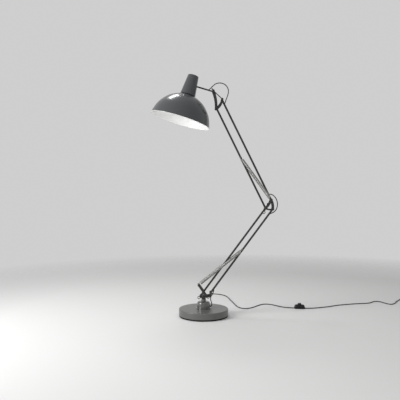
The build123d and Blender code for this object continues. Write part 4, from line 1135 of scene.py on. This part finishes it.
class LAMP_OT_foot_switch(Operator):
    """Moulds the foot switch's two shells and its button"""

    bl_idname = "lamp.foot_switch"
    bl_label = "Foot switch"

    def execute(self, context):
        turn = radians(SWITCH_TURN)
        across, up = Vector((cos(turn), sin(turn), 0)), Vector((-sin(turn), cos(turn), 0))
        middle = Vector((*SWITCH_AT, 0)) * MM

        def ring(bm, height, half_length, half_width, corner):
            centre = middle + Z_AXIS * height * MM
            return loop_ring(bm, centre, across, up, half_length, half_width, corner, SWITCH_POINTS)

        def shell_rings(bm, sections):
            return [
                ring(bm, height, SWITCH_LENGTH / 2 - inward, SWITCH_WIDTH / 2 - inward, corner)
                for height, inward, corner in sections
            ]

        bm = bmesh.new()
        stack_rings(bm, shell_rings(bm, TRAY_SECTIONS))
        tray = make_piece("switch_tray", bm, "plastic", smooth=40)
        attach(tray, "base")
        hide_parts("foot_switch_base")

        bm = bmesh.new()
        rings = shell_rings(bm, COVER_SECTIONS)
        rings += [ring(bm, height, radius, radius, radius) for radius, height in BUTTON_WELL]
        stack_rings(bm, rings)
        cover = make_piece("switch_cover", bm, "plastic", smooth=40)
        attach(cover, "base")
        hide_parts("foot_switch_cover")

        outline = [
            (0.0, 18.2), (10.9, 18.2), (10.9, 33.2), (10.4, 34.4), (9.4, 34.9), (8.2, 34.9),
            (7.9, 34.5), (7.2, 34.5), (6.9, 34.9), (5.4, 34.9), (5.1, 34.5), (4.4, 34.5),
            (4.1, 34.9), (0.0, 34.9),
        ]
        button = turned_piece(
            "switch_button", outline, "plastic", smooth=35, steps=48, centre=middle, out=across
        )
        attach(button, "foot_button")
        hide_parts("foot_switch_button")
        return {"FINISHED"}


PLUG_POINTS = 40
NECK_RIBS, NECK_START, NECK_PITCH = 3, -17, 5
# The plug's sections as (distance from the flex's end, half width, half height, corner radius)
PLUG_BODY = [
    (1, 5.0, 5.0, 4.6), (6, 7.2, 5.8, 5.0), (14, 10.9, 6.6, 5.2), (22, 13.2, 6.7, 5.0),
    (30, 15.2, 6.7, 4.8), (35.4, 16.8, 6.7, 4.6), (36.6, 16.6, 6.4, 4.4), (37.0, 15.6, 5.6, 3.6),
]


def neck_sections():
    """The round sections of the plug's ribbed neck."""
    rings = [(-18, 3.3)]
    for rib in range(NECK_RIBS):
        start = NECK_START + NECK_PITCH * rib
        radius, groove = 3.7 + 0.3 * rib, 3.3 + 0.2 * rib
        rings += [
            (start, radius), (start + 3, radius + 0.1), (start + 3.4, groove),
            (start + 4.6, groove),
        ]
    rings.append((-2, 4.6))
    return [(reach, radius, radius, radius) for reach, radius in rings]


class LAMP_OT_plug(Operator):
    """Moulds the plug with its ribbed neck"""

    bl_idname = "lamp.plug"
    bl_label = "Plug"

    def execute(self, context):
        seat, way = plug_seat()
        across = Vector((-way.y, way.x, 0))
        up = way.cross(across)
        bm = bmesh.new()
        stack_rings(bm, [
            loop_ring(bm, seat + way * reach * MM, across, up, wide, high, corner, PLUG_POINTS)
            for reach, wide, high, corner in neck_sections() + PLUG_BODY
        ])
        plug = make_piece("two_pin_plug", bm, "plastic", smooth=45)
        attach(plug, "base")
        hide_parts("mains_plug")
        lay_finish("nickel", "plug_pins")
        return {"FINISHED"}


class LAMP_PT_panel(Panel):
    """Lists the lamp's sizes, colours and pieces"""

    bl_idname = "LAMP_PT_panel"
    bl_label = "Floor lamp"
    bl_space_type = "VIEW_3D"
    bl_region_type = "UI"
    bl_category = "Floor lamp"

    def draw(self, context):
        layout = self.layout
        scene = context.scene
        for group in (scene.lamp_sizes, scene.lamp_colours, scene.lamp_stage):
            box = layout.box()
            for name in group.bl_rna.properties.keys():
                if name not in ("rna_type", "name"):
                    box.prop(group, name)
        for operator in OPERATORS:
            layout.operator(operator.bl_idname)


# In the order in which they run: the base, the foot switch and the plug are made before the flex
OPERATORS = (
    LAMP_OT_stage,
    LAMP_OT_base,
    LAMP_OT_foot_switch,
    LAMP_OT_plug,
    LAMP_OT_flex,
    LAMP_OT_cable_loops,
    LAMP_OT_collar,
    LAMP_OT_brackets,
    LAMP_OT_bars,
    LAMP_OT_springs,
    LAMP_OT_shade,
    LAMP_OT_cap,
    LAMP_OT_bulb,
    LAMP_OT_wing_nuts,
)
GROUPS = {"lamp_colours": LampColours, "lamp_sizes": LampSizes, "lamp_stage": LampStage}


def register():
    for name, group in GROUPS.items():
        bpy.utils.register_class(group)
        setattr(bpy.types.Scene, name, PointerProperty(type=group))
    for operator in OPERATORS:
        bpy.utils.register_class(operator)
    bpy.utils.register_class(LAMP_PT_panel)


def unregister():
    bpy.utils.unregister_class(LAMP_PT_panel)
    for operator in reversed(OPERATORS):
        bpy.utils.unregister_class(operator)
    for name, group in reversed(GROUPS.items()):
        delattr(bpy.types.Scene, name)
        bpy.utils.unregister_class(group)


def main():
    register()
    for operator in OPERATORS:
        family, name = operator.bl_idname.split(".")
        getattr(getattr(bpy.ops, family), name)()


if __name__ == "__main__":
    main()
